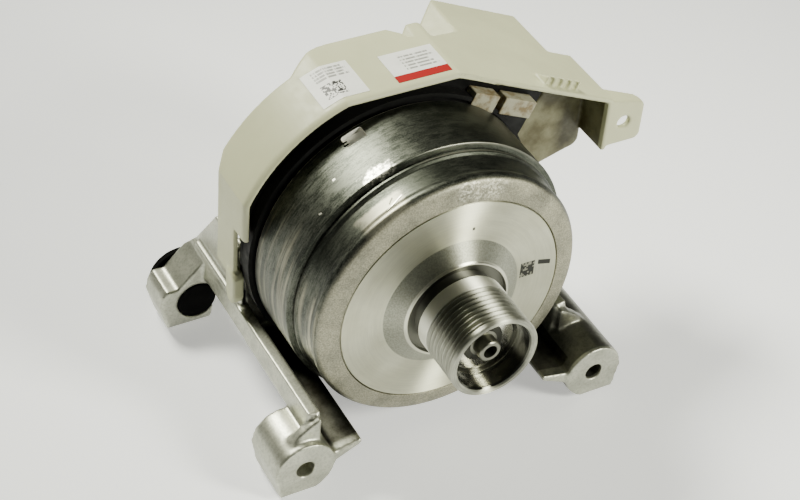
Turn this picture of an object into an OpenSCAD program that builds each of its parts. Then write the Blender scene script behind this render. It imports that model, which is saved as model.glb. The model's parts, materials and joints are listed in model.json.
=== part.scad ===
// Washing machine motor: external rotor with a ribbed belt pulley, turning on an axle
// that is fixed in a cast cradle, under a plastic terminal hood.
// The origin lies midway between the two front mounting holes, on their front faces.
// The motor axis runs along Y, the pulley points to -Y and +Z is up.

/* [Mounting] */
// Distance between the two front mounting holes
mount_span = 137; // [134:1:142]
// Height of the motor axis above the mounting holes
axis_h = 55.2; // [54:0.2:57]
// Diameter of the front mounting holes
mount_hole_d = 8; // [6:0.5:9]
// Outer radius of the front bosses and of the rear lugs
boss_r = 13.2; // [12.6:0.2:14]
// Drop from a mounting hole to the flat undersides that the motor stands on
foot_drop = 12; // [11:0.5:12.5]
// Length of the left front boss
boss_len = 24; // [20:0.5:30]
// Length of the right front boss, which runs on beside the rotor
long_boss_len = 64; // [40:1:80]
// Setback of the rear lugs from the front boss faces
lug_setback = 109.1; // [104:0.5:116]
// Thickness of the rear lugs
lug_t = 17.6; // [14:0.2:20]
// Diameter of the rubber bushes in the rear lugs
bush_d = 18.4; // [16:0.2:20]
// Diameter of the flange behind each bush
bush_flange_d = 29.4; // [26:0.2:32]
// Diameter of the pin socket in each bush
bush_bore_d = 9; // [7:0.5:11]

/* [Rotor] */
// Outer diameter of the rotor's rear band
rotor_d = 126; // [124:0.5:128]
// Depth of the rotor from its front disc to its rear edge
rotor_depth = 50.4; // [49.6:0.2:51.2]
// Setback of the rotor's front disc from the front boss faces
disc_setback = 13.5; // [12:0.5:16]
// Diameter of the smooth front disc
disc_d = 98.2; // [94:0.2:100]
// Thickness of the front disc
disc_t = 4; // [3:0.2:4.6]
// Diameter of the hub at its foot
hub_base_d = 61; // [56:0.5:66]
// Diameter of the hub's flat top
hub_top_d = 47; // [44:0.5:50]
// Height of the hub over the disc
hub_h = 5.4; // [4.6:0.2:7]
// Wall of the rotor's rear band
shell_wall = 5.8; // [5.2:0.2:6.2]
// Radial thickness of the back iron ring
back_iron_t = 2.5; // [2:0.1:2.8]
// Radial thickness of the magnets
magnet_t = 3.1; // [2.8:0.1:3.4]
// Number of magnets
magnet_n = 16; // [8:2:24]

/* [Pulley] */
// Outer diameter of the pulley
pulley_d = 38.6; // [38:0.2:42]
// Reach of the pulley in front of the disc
pulley_reach = 35.6; // [35:0.2:40]
// Pitch of the belt ribs
rib_pitch = 2.34; // [2:0.02:2.4]
// Number of belt ribs
rib_n = 8; // [6:1:8]
// Depth of the rib grooves
rib_depth = 1.9; // [1.5:0.1:2]
// Length of the plain lip in front of the ribs
lip_len = 2.2; // [1.8:0.1:3]

/* [Bearings] */
// Bore of the front bearing
front_id = 12; // [11:0.5:12.5]
// Outside diameter of the front bearing
front_od = 32; // [31:0.5:32.5]
// Width of the front bearing
front_w = 10; // [9:0.5:11]
// Setback of the front bearing from the pulley's lip
front_sink = 9.6; // [8:0.2:11]
// Bore of the rear bearing
rear_id = 15; // [14:0.5:16]
// Outside diameter of the rear bearing
rear_od = 35; // [34:0.5:36]
// Width of the rear bearing
rear_w = 11; // [10:0.5:12]
// Number of balls in each bearing
ball_n = 8; // [6:1:8]
// Diameter of the axle's rear stretch
axle_d = 20; // [18:0.5:24]
// Diameter of the axle's front nose
nose_d = 9.6; // [8:0.2:11]
// Diameter of the centre hole in the nose
nose_hole_d = 6; // [3:0.2:6.4]

/* [Stator] */
// Number of stator teeth
tooth_n = 18; // [12:3:18]
// Length of the lamination stack
stack_len = 30; // [26:0.5:30]
// Width of a stator tooth
tooth_w = 5.5; // [4.5:0.1:6]
// Air gap between magnets and stator
air_gap = 1; // [0.6:0.1:1.4]
// Inner diameter of the lamination stack
stack_bore_d = 54; // [52:0.5:56]
// Number of stator screws
screw_n = 4; // [3:1:6]

/* [Hood] */
// Wall of the hood
hood_wall = 2.2; // [1.6:0.1:2.6]
// Gap between the rotor's rear band and the hood's front lip
hood_gap = 9.5; // [8.5:0.5:11]
// Height of the hood's flat top over the motor axis
hood_top = 70.6; // [69.6:0.2:72]
// Slope of the hood's right roof
hood_slope = 24.2; // [20:0.2:27]
// Reach of the hood to the right of the motor axis
hood_reach = 104.5; // [100:0.5:110]
// Depth of the hood over its flat top
hood_depth = 39.7; // [37:0.5:44]
// Width of the ear at the hood's right end
ear_w = 19.4; // [14:0.2:22]
// Diameter of the hole in the ear
ear_hole_d = 6.2; // [5:0.2:8]

/* [Hidden] */
$fn = 96;

// Clearances
press = 0.05;
joint_line = 0.12;
ball_play = 0.3;
seal_play = 0.3;
rotor_room = 2.6;
coil_play = 0.3;
seat_gap = 0.3;
eps = 0.01;
over = 1;

// Rotor, measured from the front disc along +Y
rotor_r = rotor_d / 2;
disc_r = disc_d / 2;
shell_in = rotor_r - shell_wall;
seat_t = 4.6;
shell_front = disc_t + seat_t;
seat_step = 5;
bevel_in = 8.6;
bevel_in_y = 0.8;
bevel_out = 4.9;
bevel_out_y = 2;
bead_in = 3.5;
bead_y = 4.2;
bead_end_y = 5.8;
groove_in = 4.3;
groove_y = 7.6;
band_in = 4;
band_y = 10.9;
ridge_foot_in = 3.5;
ridge_foot_y = 16.4;
ridge_in = 2.3;
ridge_y = 17.6;
ridge_end_y = 18.9;
neck_in = 3.1;
neck_y = 19.4;
step_y = 19.8;
step_end_y = 20.4;
rim_cut = 0.7;
iron_out = shell_in - press;
iron_in = iron_out - back_iron_t;
magnet_out = iron_in - press;
magnet_in = magnet_out - magnet_t;
magnet_gap_deg = 2;
iron_over = 2;
magnet_over = 1;

// Pulley and bearings
pulley_r = pulley_d / 2;
lip_y = -pulley_reach;
rib_y0 = lip_y + lip_len + rib_n * rib_pitch;
rib_flat_share = 0.16;
band_len = 6.6;
neck_cut = 1.4;
spigot_cut = 1;
neck_r = pulley_r - neck_cut;
spigot_r = neck_r - spigot_cut;
hub_floor_y = -1;
hub_recess = 2.4;
hub_rim = 1.1;
recess_y = hub_recess - hub_h;
recess_r = hub_top_d / 2 - hub_rim;
rear_y0 = 0.5;
rear_y1 = rear_y0 + rear_w;
seat_lip = 4;
rear_boss_t = 4.5;
hub_bore_r = rear_od / 2 - seat_lip;
rear_boss_r = rear_od / 2 + rear_boss_t;
front_y0 = lip_y + front_sink;
front_y1 = front_y0 + front_w;
clip_t = 1.1;
clip_w = 1.8;
clip_sink = 0.6;
lip_cut = 0.5;
mouth_cut = 1.3;
race_share = 0.26;
ball_share = 0.54;
cage_share = 0.16;
cage_lap = 0.8;
nose_len = 5.2;
nose_taper = 0.6;
nose_y = front_y0 - nose_len - nose_taper;
nose_hole_deep = 12;
nose_cut = 0.4;

// Stator
stator_r = magnet_in - air_gap;
bore_r = stack_bore_d / 2;
insulator_t = 2;
coil_t = 2.3;
coil_end = 2.6;
end_room = 1.4;
stack_y0 = shell_front + end_room + coil_end + coil_play + insulator_t;
stack_y1 = stack_y0 + stack_len;
yoke_t = 7.2;
shoe_t = 4;
slot_w = 2.6;
coil_end_gap = 1;
coil_in = bore_r + yoke_t + coil_end_gap;
coil_out = stator_r - shoe_t - coil_end_gap;
screw_pitch_r = bore_r + yoke_t / 2;
screw_r = 2;
screw_head_r = 3.2;
screw_head_t = 3;
screw_grip = 11;

// Cradle, measured from the motor axis
plate_gap = 15.6;
plate_y0 = rotor_depth + plate_gap;
plate_t = 6;
plate_y1 = plate_y0 + plate_t;
plate_cut = 3;
plate_r = rotor_r - plate_cut;
plate_rib_n = 8;
plate_rib_w = 4;
plate_rib_h = 4;
axle_boss_t = 6;
axle_boss_r = axle_d / 2 + axle_boss_t;
axle_end_y = plate_y1 + axle_boss_t;
tube_t = 3;
front_y = -disc_setback;
hole_x = mount_span / 2;
rail_tuck = 2.4;
rail_in = rotor_r - rail_tuck;
rail_w = 4.4;
rail_out = rail_in + rail_w;
rail_shelf = 1.1;
rail_top = -32;
rail_h = 9.9;
rail_draft = 0.7;
left_rail_setback = 7;
right_rail_setback = 22.5;
left_rail_y = front_y + left_rail_setback;
right_rail_y = front_y + right_rail_setback;
gusset_t = 4.5;
gusset_lap = 1;
gusset_reach = 5.5;
wall_t = 4;
wall_rise = 0.7;
wall_foot = wall_rise - axis_h;
wall_tuck = 7.5;
wall_foot_x = rotor_r - wall_tuck;
web_setback = 1;
web_tuck = 20;
web_in = rotor_r - web_tuck;
web_rise = 3.4;
web_in_z = web_rise - axis_h;
web_t = 2.6;
web_lap = 1;
web_sink = 3;
ledge_w = 5.4;
ledge_rise = 3.5;
ledge_setback = 2.8;
ledge_top = rail_top + ledge_rise;
ledge_y = plate_y0 + ledge_setback;
upper_wall_t = 2.9;
upper_wall_lap = 4;
upper_top = -3.3;
upper_run = 16.7;
upper_back = plate_y1 + upper_run;
lug_y0 = lug_setback - disc_setback;
lug_y1 = lug_y0 + lug_t;
lug_side = 17.3;
lug_shoulder = 9;
lug_crest = 19.3;
lug_rise = 8;
lug_chin = 1.2;
lug_chin_drop = 3;
bush_r = bush_d / 2;
bush_flange_t = 3.4;
bush_floor = 3;
bush_rim = 0.8;

// Hood, measured from the motor axis
lip_front = rotor_depth;
hood_r = rotor_r + hood_gap + hood_wall;
left_gap = 2.5;
hood_left = rotor_r + left_gap + hood_wall;
hood_corner = 26;
skirt_z = -15;
skirt_step_z = 13;
skirt_step = 10.4;
left_depth = 30.2;
left_round = 4;
tail_depth = 65;
tail_x0 = 48.5;
tail_x1 = 92;
side_depth = 35.8;
bump_x0 = -35;
bump_x1 = -16;
notch = 4.6;
notch_x = 17;
step_x = 28.3;
step_run = 6.6;
fold_x = 46.2;
fold_setback = 38.6;
fold_turn = 5;
fold_fall = 27;
fold_drop = 22;
tongue_setback = 29.6;
dent_x = 20.6;
dent_setback = 28.1;
dent_turn = 7;
dent_fall = 35;
right_foot = 8.4;
tail_skirt = 12;
vent_r = 56;
pocket_wall_setback = 18.8;
pocket_wall_y = lip_front + pocket_wall_setback;
pocket_x = 80;
pocket_z = 32;
pocket_low_x = 68;
pocket_low_z = 16;
pocket_drop = 11.4;
pocket_end_drop = 2;
pocket_round = 5;
ear_t = 3;
ear_z0 = 10.2;
ear_round = 3;
ear_sink = 0.4;
ear_fall = 15;
ear_back = 11.5;
ear_end_back = 6.5;
grip_n = 4;
grip_w = 3;
grip_rib = 1.65;
grip_side = 0.95;
grip_h = 4.6;
grip_lip = 0.6;
grip_in = 1.6;
grip_run = 10;
grip_setback = 2.6;
grip_x = 69;
grip_len = grip_n * grip_w + (grip_n - 1) * grip_rib + 2 * grip_side;
tab_w = 8;
tab_round = 2;
tab_z0 = -27;
tab_z1 = -11;
label_t = 0.2;
label_setback = 4.2;
label_y = lip_front + label_setback;
rating_x = 0;
rating_w = 24;
rating_len = 19;
code_x = -33;
code_w = 20;
code_len = 22;

// Terminal carrier and connectors
carrier_y = rotor_depth + 1.2;
carrier_r = rotor_r + 2.2;
carrier_rim = 2;
carrier_web_y = carrier_y + 1.6;
carrier_web_t = 2.4;
carrier_depth = 6;
flange_y = carrier_y + carrier_depth;
flange_t = 2;
tab_y = flange_y + seat_gap;
flange_end_x = 71.5;
flange_end_z = 44;
flange_low_x = 61;
flange_low_z = 22;
flange_foot_z = -5;
sleeve_t = 2.4;
plug_d = 6.4;
plug_h = 8;
plug_wall = 1.2;
plug_drop = 5.5;
power_x = 38;
power_w = 13;
power_ways = 3;
sensor_x = 53;
sensor_w = 17;
sensor_ways = 5;
board_in = 40;
board_out = 49;
board_deg = 64;
board_t = 1.6;

// Shapes about the motor axis
module at_axis() {
    translate([0, disc_setback, axis_h]) children();
}

module turned() {
    rotate([-90, 0, 0]) rotate_extrude() children();
}

module along_y(y0, y1) {
    translate([0, y1, 0]) rotate([90, 0, 0]) linear_extrude(y1 - y0) children();
}

module rod(r, y0, y1) {
    rotate([-90, 0, 0]) translate([0, 0, y0]) cylinder(r = r, h = y1 - y0);
}

module block(x0, x1, y0, y1, z0, z1) {
    translate([x0, y0, z0]) cube([x1 - x0, y1 - y0, z1 - z0]);
}

module band(r0, r1, y0, y1) {
    turned() translate([r0, y0]) square([r1 - r0, y1 - y0]);
}

// Ball bearings
function race_t(id, od) = (od - id) / 2 * race_share;
function pitch_r(id, od) = (id + od) / 4;
function ball_r(id, od) = (od - id) / 4 * ball_share;

module inner_race(id, od, y0, w) {
    at_axis() turned() difference() {
        translate([id / 2, y0]) square([race_t(id, od), w]);
        translate([pitch_r(id, od), y0 + w / 2]) circle(r = ball_r(id, od) + ball_play);
    }
}

module outer_race(id, od, y0, w) {
    at_axis() turned() difference() {
        translate([od / 2 - race_t(id, od), y0]) square([race_t(id, od), w]);
        translate([pitch_r(id, od), y0 + w / 2]) circle(r = ball_r(id, od) + ball_play);
    }
}

module balls(id, od, y0, w) {
    at_axis() for (i = [0:ball_n - 1])
        rotate([0, i * 360 / ball_n, 0])
            translate([pitch_r(id, od), y0 + w / 2, 0]) sphere(r = ball_r(id, od));
}

module cage(id, od, y0, w) {
    cage_t = (od - id) / 2 * cage_share;
    cage_w = 2 * (ball_r(id, od) + cage_lap);
    at_axis() difference() {
        band(pitch_r(id, od) - cage_t / 2, pitch_r(id, od) + cage_t / 2,
            y0 + (w - cage_w) / 2, y0 + (w + cage_w) / 2);
        for (i = [0:ball_n - 1])
            rotate([0, i * 360 / ball_n, 0]) translate([0, y0 + w / 2, 0])
                rotate([0, 90, 0]) cylinder(r = ball_r(id, od) + ball_play / 2, h = od / 2, $fn = 48);
    }
}

module seals(id, od, y0, w) {
    seal_t = 0.6;
    seal_sink = 0.4;
    seal_in = id / 2 + race_t(id, od) + seal_play;
    seal_out = od / 2 - race_t(id, od);
    at_axis() {
        band(seal_in, seal_out, y0 + seal_sink, y0 + seal_sink + seal_t);
        band(seal_in, seal_out, y0 + w - seal_sink - seal_t, y0 + w - seal_sink);
    }
}

module front_inner_race() {
    color("silver") inner_race(front_id, front_od, front_y0, front_w);
}

module front_outer_race() {
    color("silver") outer_race(front_id, front_od, front_y0, front_w);
}

module front_balls() {
    color("gainsboro") balls(front_id, front_od, front_y0, front_w);
}

module front_cage() {
    color("darkgoldenrod") cage(front_id, front_od, front_y0, front_w);
}

module front_seals() {
    color("dimgray") seals(front_id, front_od, front_y0, front_w);
}

module rear_inner_race() {
    color("silver") inner_race(rear_id, rear_od, rear_y0, rear_w);
}

module rear_outer_race() {
    color("silver") outer_race(rear_id, rear_od, rear_y0, rear_w);
}

module rear_balls() {
    color("gainsboro") balls(rear_id, rear_od, rear_y0, rear_w);
}

module rear_cage() {
    color("darkgoldenrod") cage(rear_id, rear_od, rear_y0, rear_w);
}

module rear_seals() {
    color("dimgray") seals(rear_id, rear_od, rear_y0, rear_w);
}

// Snap ring that keeps the front bearing in the pulley
module bearing_circlip() {
    clip_out = front_od / 2 + clip_sink;
    gap_w = 5;
    color("slategray") at_axis() difference() {
        band(clip_out - clip_w, clip_out, front_y0 - clip_t - press, front_y0 - press);
        block(-gap_w / 2, gap_w / 2, front_y0 - 2 * clip_t, front_y0 + eps, 0, clip_out + clip_w);
    }
}

// Fixed steel axle, stepped for both bearings
module axle() {
    shoulder_r = rear_id / 2;
    color("lightsteelblue") at_axis() turned() polygon([
        [nose_hole_d / 2, nose_y],
        [nose_d / 2 - nose_cut, nose_y],
        [nose_d / 2, nose_y + nose_cut],
        [nose_d / 2, nose_y + nose_len],
        [front_id / 2, front_y0 - nose_cut],
        [front_id / 2, front_y1],
        [shoulder_r, front_y1],
        [shoulder_r, rear_y1],
        [axle_d / 2, rear_y1],
        [axle_d / 2, axle_end_y - nose_cut],
        [axle_d / 2 - nose_cut, axle_end_y],
        [0, axle_end_y],
        [0, nose_y + nose_hole_deep],
        [nose_hole_d / 2, nose_y + nose_hole_deep]
    ]);
}

// Belt pulley with ribs, a plain band and a spigot in the hub
module drive_pulley() {
    bore = front_od / 2;
    clip_groove = bore + clip_sink + press;
    floor_r = bore - seat_lip;
    rib_flat = rib_pitch * rib_flat_share;
    ribs = [for (i = [0:rib_n - 1]) each [
        [pulley_r - rib_depth, rib_y0 - i * rib_pitch - rib_flat / 2],
        [pulley_r, rib_y0 - (i + 0.5) * rib_pitch + rib_flat / 2],
        [pulley_r, rib_y0 - (i + 0.5) * rib_pitch - rib_flat / 2],
        [pulley_r - rib_depth, rib_y0 - (i + 1) * rib_pitch + rib_flat / 2]]];
    color("silver") at_axis() turned() polygon(concat(
        [[floor_r, hub_floor_y],
        [spigot_r, hub_floor_y],
        [spigot_r, recess_y],
        [neck_r, recess_y],
        [neck_r, rib_y0 + band_len],
        [pulley_r, rib_y0 + band_len],
        [pulley_r, rib_y0]],
        ribs,
        [[pulley_r, lip_y + lip_len],
        [pulley_r, lip_y + lip_cut],
        [pulley_r - lip_cut, lip_y],
        [bore + mouth_cut, lip_y],
        [bore, lip_y + mouth_cut],
        [bore, front_y0 - clip_t - 2 * press],
        [clip_groove, front_y0 - clip_t - 2 * press],
        [clip_groove, front_y0],
        [bore, front_y0],
        [bore, front_y1],
        [floor_r, front_y1]]));
}

// Smooth front disc with the hub that holds pulley and rear bearing
module rotor_disc() {
    hub_cut = 0.5;
    color("darkgray") at_axis() turned() polygon([
        [hub_bore_r, hub_floor_y],
        [spigot_r, hub_floor_y],
        [spigot_r, recess_y],
        [recess_r, recess_y],
        [recess_r, -hub_h],
        [hub_top_d / 2 - hub_cut, -hub_h],
        [hub_top_d / 2, -hub_h + hub_cut],
        [hub_base_d / 2 - hub_cut, -hub_cut],
        [hub_base_d / 2 + hub_cut, 0],
        [disc_r, 0],
        [disc_r, disc_t],
        [rear_boss_r, disc_t],
        [rear_boss_r, rear_y1],
        [rear_od / 2, rear_y1],
        [rear_od / 2, rear_y0],
        [hub_bore_r, rear_y0]
    ]);
}

// Cast outer shell with its bead, grooves, ridge and rear band
module rotor_shell() {
    color("gray") at_axis() turned() polygon([
        [disc_r + joint_line, 0],
        [rotor_r - bevel_in, bevel_in_y],
        [rotor_r - bevel_out, bevel_out_y],
        [rotor_r - bead_in, bead_y],
        [rotor_r - bead_in, bead_end_y],
        [rotor_r - groove_in, groove_y],
        [rotor_r - band_in, band_y],
        [rotor_r - ridge_foot_in, ridge_foot_y],
        [rotor_r - ridge_in, ridge_y],
        [rotor_r - ridge_in, ridge_end_y],
        [rotor_r - neck_in, neck_y],
        [rotor_r - neck_in, step_y],
        [rotor_r, step_end_y],
        [rotor_r, rotor_depth - rim_cut],
        [rotor_r - rim_cut, rotor_depth],
        [shell_in, rotor_depth],
        [shell_in, shell_front],
        [disc_r - seat_step, shell_front],
        [disc_r - seat_step, disc_t],
        [disc_r + joint_line, disc_t]
    ]);
}

module back_iron() {
    color("dimgray") at_axis() band(iron_in, iron_out, stack_y0 - iron_over, stack_y1 + iron_over);
}

module magnets() {
    color("darkslategray") at_axis() for (i = [0:magnet_n - 1])
        rotate([0, i * 360 / magnet_n, 0]) rotate([-90, 0, 0])
            rotate_extrude(angle = 360 / magnet_n - magnet_gap_deg)
                translate([magnet_in, stack_y0 - magnet_over])
                    square([magnet_t, stack_len + 2 * magnet_over]);
}

// Stator: laminations, insulators, coils and screws
module tooth_star(w, r0, r1) {
    for (i = [0:tooth_n - 1])
        rotate(i * 360 / tooth_n) translate([r0, -w / 2]) square([r1 - r0, w]);
}

module screw_circle() {
    for (i = [0:screw_n - 1])
        rotate((i + 0.5) * 360 / screw_n) translate([screw_pitch_r, 0]) children();
}

module yoke_ring() {
    difference() {
        circle(r = bore_r + yoke_t);
        circle(r = bore_r);
        screw_circle() circle(r = screw_r + coil_play, $fn = 32);
    }
}

module stator_core() {
    color("lightslategray") at_axis() along_y(stack_y0, stack_y1) {
        yoke_ring();
        tooth_star(tooth_w, bore_r + yoke_t - eps, stator_r - shoe_t + eps);
        difference() {
            circle(r = stator_r);
            circle(r = stator_r - shoe_t);
            for (i = [0:tooth_n - 1])
                rotate((i + 0.5) * 360 / tooth_n)
                    translate([bore_r, -slot_w / 2]) square([stator_r, slot_w]);
        }
    }
}

module insulator(y0) {
    at_axis() along_y(y0, y0 + insulator_t) {
        yoke_ring();
        tooth_star(tooth_w, bore_r + yoke_t - eps, stator_r - shoe_t);
    }
}

module front_insulator() {
    color("darkolivegreen") insulator(stack_y0 - insulator_t);
}

module rear_insulator() {
    color("darkolivegreen") insulator(stack_y1);
}

module windings() {
    window = tooth_w + 2 * coil_play;
    coil_w = window + 2 * coil_t;
    window_y0 = stack_y0 - insulator_t - coil_play;
    window_y1 = stack_y1 + insulator_t + coil_play;
    color("peru") at_axis() for (i = [0:tooth_n - 1])
        rotate([0, i * 360 / tooth_n, 0]) difference() {
            block(coil_in, coil_out, window_y0 - coil_end, window_y1 + coil_end,
                -coil_w / 2, coil_w / 2);
            block(coil_in - over, coil_out + over, window_y0, window_y1, -window / 2, window / 2);
        }
}

module stator_screws() {
    head_y = stack_y0 - insulator_t;
    color("silver") at_axis() {
        along_y(head_y - screw_head_t, head_y) screw_circle() circle(r = screw_head_r, $fn = 48);
        along_y(head_y - eps, stack_y1 + insulator_t + screw_grip) screw_circle()
            circle(r = screw_r, $fn = 32);
    }
}

// Cast cradle: back plate, stator tube, side rails, front bosses and rear lugs
module boss_outline() {
    difference() {
        union() {
            circle(r = boss_r);
            polygon([[-boss_r, 0], [2 - boss_r, -foot_drop], [boss_r / 3, -foot_drop], [0, 0]]);
        }
        translate([-2 * boss_r, -foot_drop - 2 * boss_r]) square([4 * boss_r, 2 * boss_r]);
    }
}

module lug_outline() {
    side_cut = 3.4;
    polygon([
        [side_cut - lug_side, -foot_drop],
        [-lug_side, 0],
        [lug_chin - lug_side, lug_shoulder - lug_chin_drop],
        [side_cut - lug_side, lug_shoulder],
        [-lug_shoulder, lug_shoulder],
        [lug_crest - 2 * lug_shoulder, lug_crest],
        [hole_x - rail_in, lug_crest + lug_rise],
        [hole_x - rail_in, -foot_drop / 2],
        [boss_r / 2, -foot_drop]
    ]);
}

module front_boss(len) {
    translate([-hole_x, 0, -axis_h]) along_y(front_y, front_y + len) boss_outline();
}

module rear_lug() {
    translate([-hole_x, 0, -axis_h]) along_y(lug_y0, lug_y1) lug_outline();
}

module rail(y0) {
    along_y(y0, lug_y1) polygon([
        [rail_shelf - rail_in, rail_top],
        [-rail_out, rail_top],
        [-rail_out - rail_draft, rail_top - rail_h],
        [-wall_foot_x - wall_t, wall_foot],
        [-wall_foot_x, wall_foot],
        [rail_shelf - rail_in, rail_top - rail_h]
    ]);
}

module gusset(y0) {
    along_y(y0 + gusset_lap - gusset_t, y0 + gusset_lap) polygon([
        [-rail_in, rail_top - gusset_lap],
        [-rail_out, rail_top - gusset_lap - rail_w / 2],
        [-hole_x - gusset_lap, rail_top - 1.5 * rail_w],
        [-hole_x - gusset_reach, boss_r - gusset_lap - axis_h],
        [-hole_x, boss_r / 2 - axis_h],
        [-rail_in, boss_r / 2 - axis_h]
    ]);
}

module web() {
    along_y(front_y + web_setback, plate_y0) polygon([
        [-wall_foot_x - wall_t, wall_foot - web_t],
        [-wall_foot_x - wall_t, wall_foot + web_t],
        [-wall_foot_x, wall_foot + web_t],
        [-web_in, web_in_z + web_t],
        [-web_in, web_in_z],
        [boss_r - web_lap - hole_x, -axis_h - web_sink]
    ]);
}

module hood_seat() {
    block(-rail_in - ledge_w, -rail_in, ledge_y, lug_y1 - lug_t / 2, rail_top - eps, ledge_top);
    block(-rail_in - upper_wall_t, eps - rail_in, plate_y0 - upper_wall_lap, lug_y1,
        rail_top - eps, upper_top);
}

module rear_slope() {
    far_x = hole_x + 2 * boss_r;
    rotate([90, 0, 90]) translate([0, 0, -far_x]) linear_extrude(far_x) polygon([
        [upper_back, upper_top],
        [lug_y1, rail_top - rail_w],
        [lug_y1 + over, rail_top - rail_w],
        [lug_y1 + over, upper_top + over],
        [upper_back, upper_top + over]
    ]);
}

module cradle_side(rail_y, boss) {
    difference() {
        union() {
            rail(rail_y);
            hood_seat();
            rear_lug();
        }
        rear_slope();
    }
    gusset(rail_y);
    web();
    front_boss(boss);
}

module back_plate() {
    along_y(plate_y0, plate_y1) union() {
        circle(r = plate_r);
        polygon([
            [-rail_in - upper_wall_t, upper_top],
            [-rail_in - upper_wall_t, rail_top - rail_h / 2],
            [-wall_foot_x - wall_t / 2, wall_foot],
            [wall_foot_x + wall_t / 2, wall_foot],
            [rail_in + upper_wall_t, rail_top - rail_h / 2],
            [rail_in + upper_wall_t, upper_top]
        ]);
    }
    for (i = [0:plate_rib_n - 1])
        rotate([0, (i + 0.5) * 360 / plate_rib_n, 0])
            block(0, plate_r - plate_rib_w, plate_y1 - eps, plate_y1 + plate_rib_h,
                -plate_rib_w / 2, plate_rib_w / 2);
}

module bracket() {
    shoulder_y = stack_y1 + insulator_t;
    color("lightgray") at_axis() difference() {
        union() {
            difference() {
                union() {
                    cradle_side(left_rail_y, boss_len);
                    mirror([1, 0, 0]) cradle_side(right_rail_y, long_boss_len);
                }
                rod(rotor_r + rotor_room, front_y - over, plate_y0 - over);
            }
            back_plate();
            rod(axle_boss_r, shoulder_y, axle_end_y);
            band(bore_r - tube_t, bore_r - press, stack_y0, plate_y0 + eps);
            band(bore_r - tube_t, bore_r + yoke_t, shoulder_y, plate_y0 + eps);
        }
        rod(axle_d / 2, shoulder_y - over, axle_end_y + over);
        for (s = [-1, 1]) translate([s * hole_x, 0, -axis_h]) {
            rod(mount_hole_d / 2, front_y - over, front_y + boss_len + over);
            rod(bush_r, lug_y0 - over, lug_y1 + over);
        }
        along_y(shoulder_y - over, shoulder_y + screw_grip) screw_circle() circle(r = screw_r, $fn = 32);
    }
}

// Rubber bush with a pin socket that opens to the rear
module bush(side) {
    color([0.06, 0.06, 0.06]) at_axis() translate([side * hole_x, 0, -axis_h]) turned() polygon([
        [0, lug_y0],
        [bush_r - bush_rim, lug_y0],
        [bush_r, lug_y0 + bush_rim],
        [bush_r, lug_y1],
        [bush_flange_d / 2, lug_y1],
        [bush_flange_d / 2, lug_y1 + bush_flange_t - bush_rim],
        [bush_flange_d / 2 - bush_rim, lug_y1 + bush_flange_t],
        [bush_bore_d / 2, lug_y1 + bush_flange_t],
        [bush_bore_d / 2, lug_y0 + bush_floor],
        [0, lug_y0 + bush_floor]
    ]);
}

module bush_left() {
    bush(-1);
}

module bush_right() {
    bush(1);
}

// Hood: one front outline pushed back along Y and trimmed by the outline seen from above
function corner_x(g) = hood_corner - g * tan(hood_slope / 2);
function slope_z(x, g) = hood_top - g - (x - corner_x(g)) * tan(hood_slope);
function arc_start(g) = acos(-(hood_left - g) / (hood_r - g));
function arc_end(g) = 180 - asin((hood_top - g) / (hood_r - g));

module hood_front(g, foot) {
    steps = 20;
    a0 = arc_start(g);
    a1 = arc_end(g);
    polygon(concat(
        [[hood_reach - g, foot], [g - hood_left, foot]],
        [for (i = [0:steps]) let(a = a0 + (a1 - a0) * i / steps) (hood_r - g) * [cos(a), sin(a)]],
        [[corner_x(g), hood_top - g], [hood_reach - g, slope_z(hood_reach - g, g)]]));
}

module hood_plan(g) {
    bump_steps = 6;
    left_y = lip_front + left_depth - g;
    top_y = lip_front + hood_depth - g;
    side_y = lip_front + side_depth - g;
    tail_y = lip_front + tail_depth - g;
    polygon(concat(
        [[g - hood_left, lip_front - 2 * g],
        [g - hood_left, left_y - left_round],
        [g - hood_left + left_round, left_y]],
        [for (i = [0:bump_steps]) [
            bump_x0 + (bump_x1 - bump_x0) * i / bump_steps,
            left_y + (top_y - left_y) * sin(90 * i / bump_steps)]],
        [[notch_x - notch, top_y],
        [notch_x, top_y - notch],
        [notch_x + notch, top_y],
        [step_x, top_y],
        [step_x, top_y + step_run],
        [tail_x0 + g / 2, tail_y],
        [tail_x1 - g, tail_y],
        [tail_x1 - g, side_y],
        [hood_reach - g, side_y],
        [hood_reach - g, lip_front - 2 * g]]));
}

module hood_body(g, foot) {
    tall = 3 * hood_r;
    intersection() {
        along_y(lip_front - 2 * g, lip_front + tail_depth + over) hood_front(g, foot);
        translate([0, 0, foot - over]) linear_extrude(tall) hood_plan(g);
    }
}

// Space above a facet that falls to the left of a fold line on the roof
module above_facet(x, setback, turn, fall, g) {
    long = 2 * tail_depth;
    translate([x, lip_front + setback, slope_z(max(x, hood_corner), 0) - g / cos(fall)])
        rotate([0, 0, -turn]) along_y(-long, long) polygon([
            [0, 0],
            [-long, -long * tan(fall)],
            [-long, long],
            [0, long]
        ]);
}

// What the two folds at the hood's rear edge take off its roof
module rear_folds(g) {
    back = lip_front + tail_depth + over;
    intersection() {
        above_facet(fold_x, fold_setback, fold_turn, fold_fall, g);
        linear_extrude(2 * hood_top) polygon([
            [step_x - g, lip_front + tongue_setback - g],
            [fold_x, lip_front + fold_setback - g],
            [tail_x0 + tail_skirt, back],
            [step_x - g, back]
        ]);
    }
    intersection() {
        above_facet(dent_x, dent_setback, dent_turn, dent_fall, g);
        linear_extrude(2 * hood_top) polygon([
            [dent_x, lip_front + dent_setback - g],
            [step_x - g, back],
            [notch_x - g, back],
            [notch_x - g, lip_front + hood_depth - notch - g]
        ]);
    }
}

module roof_wedge(drop, x0, x1, y0, y1) {
    along_y(y0, y1) polygon([
        [x0, slope_z(x0, 0) - drop],
        [x1, slope_z(x1, 0) - drop],
        [x1, skirt_z - 2 * drop],
        [x0, skirt_z - 2 * drop]
    ]);
}

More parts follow.
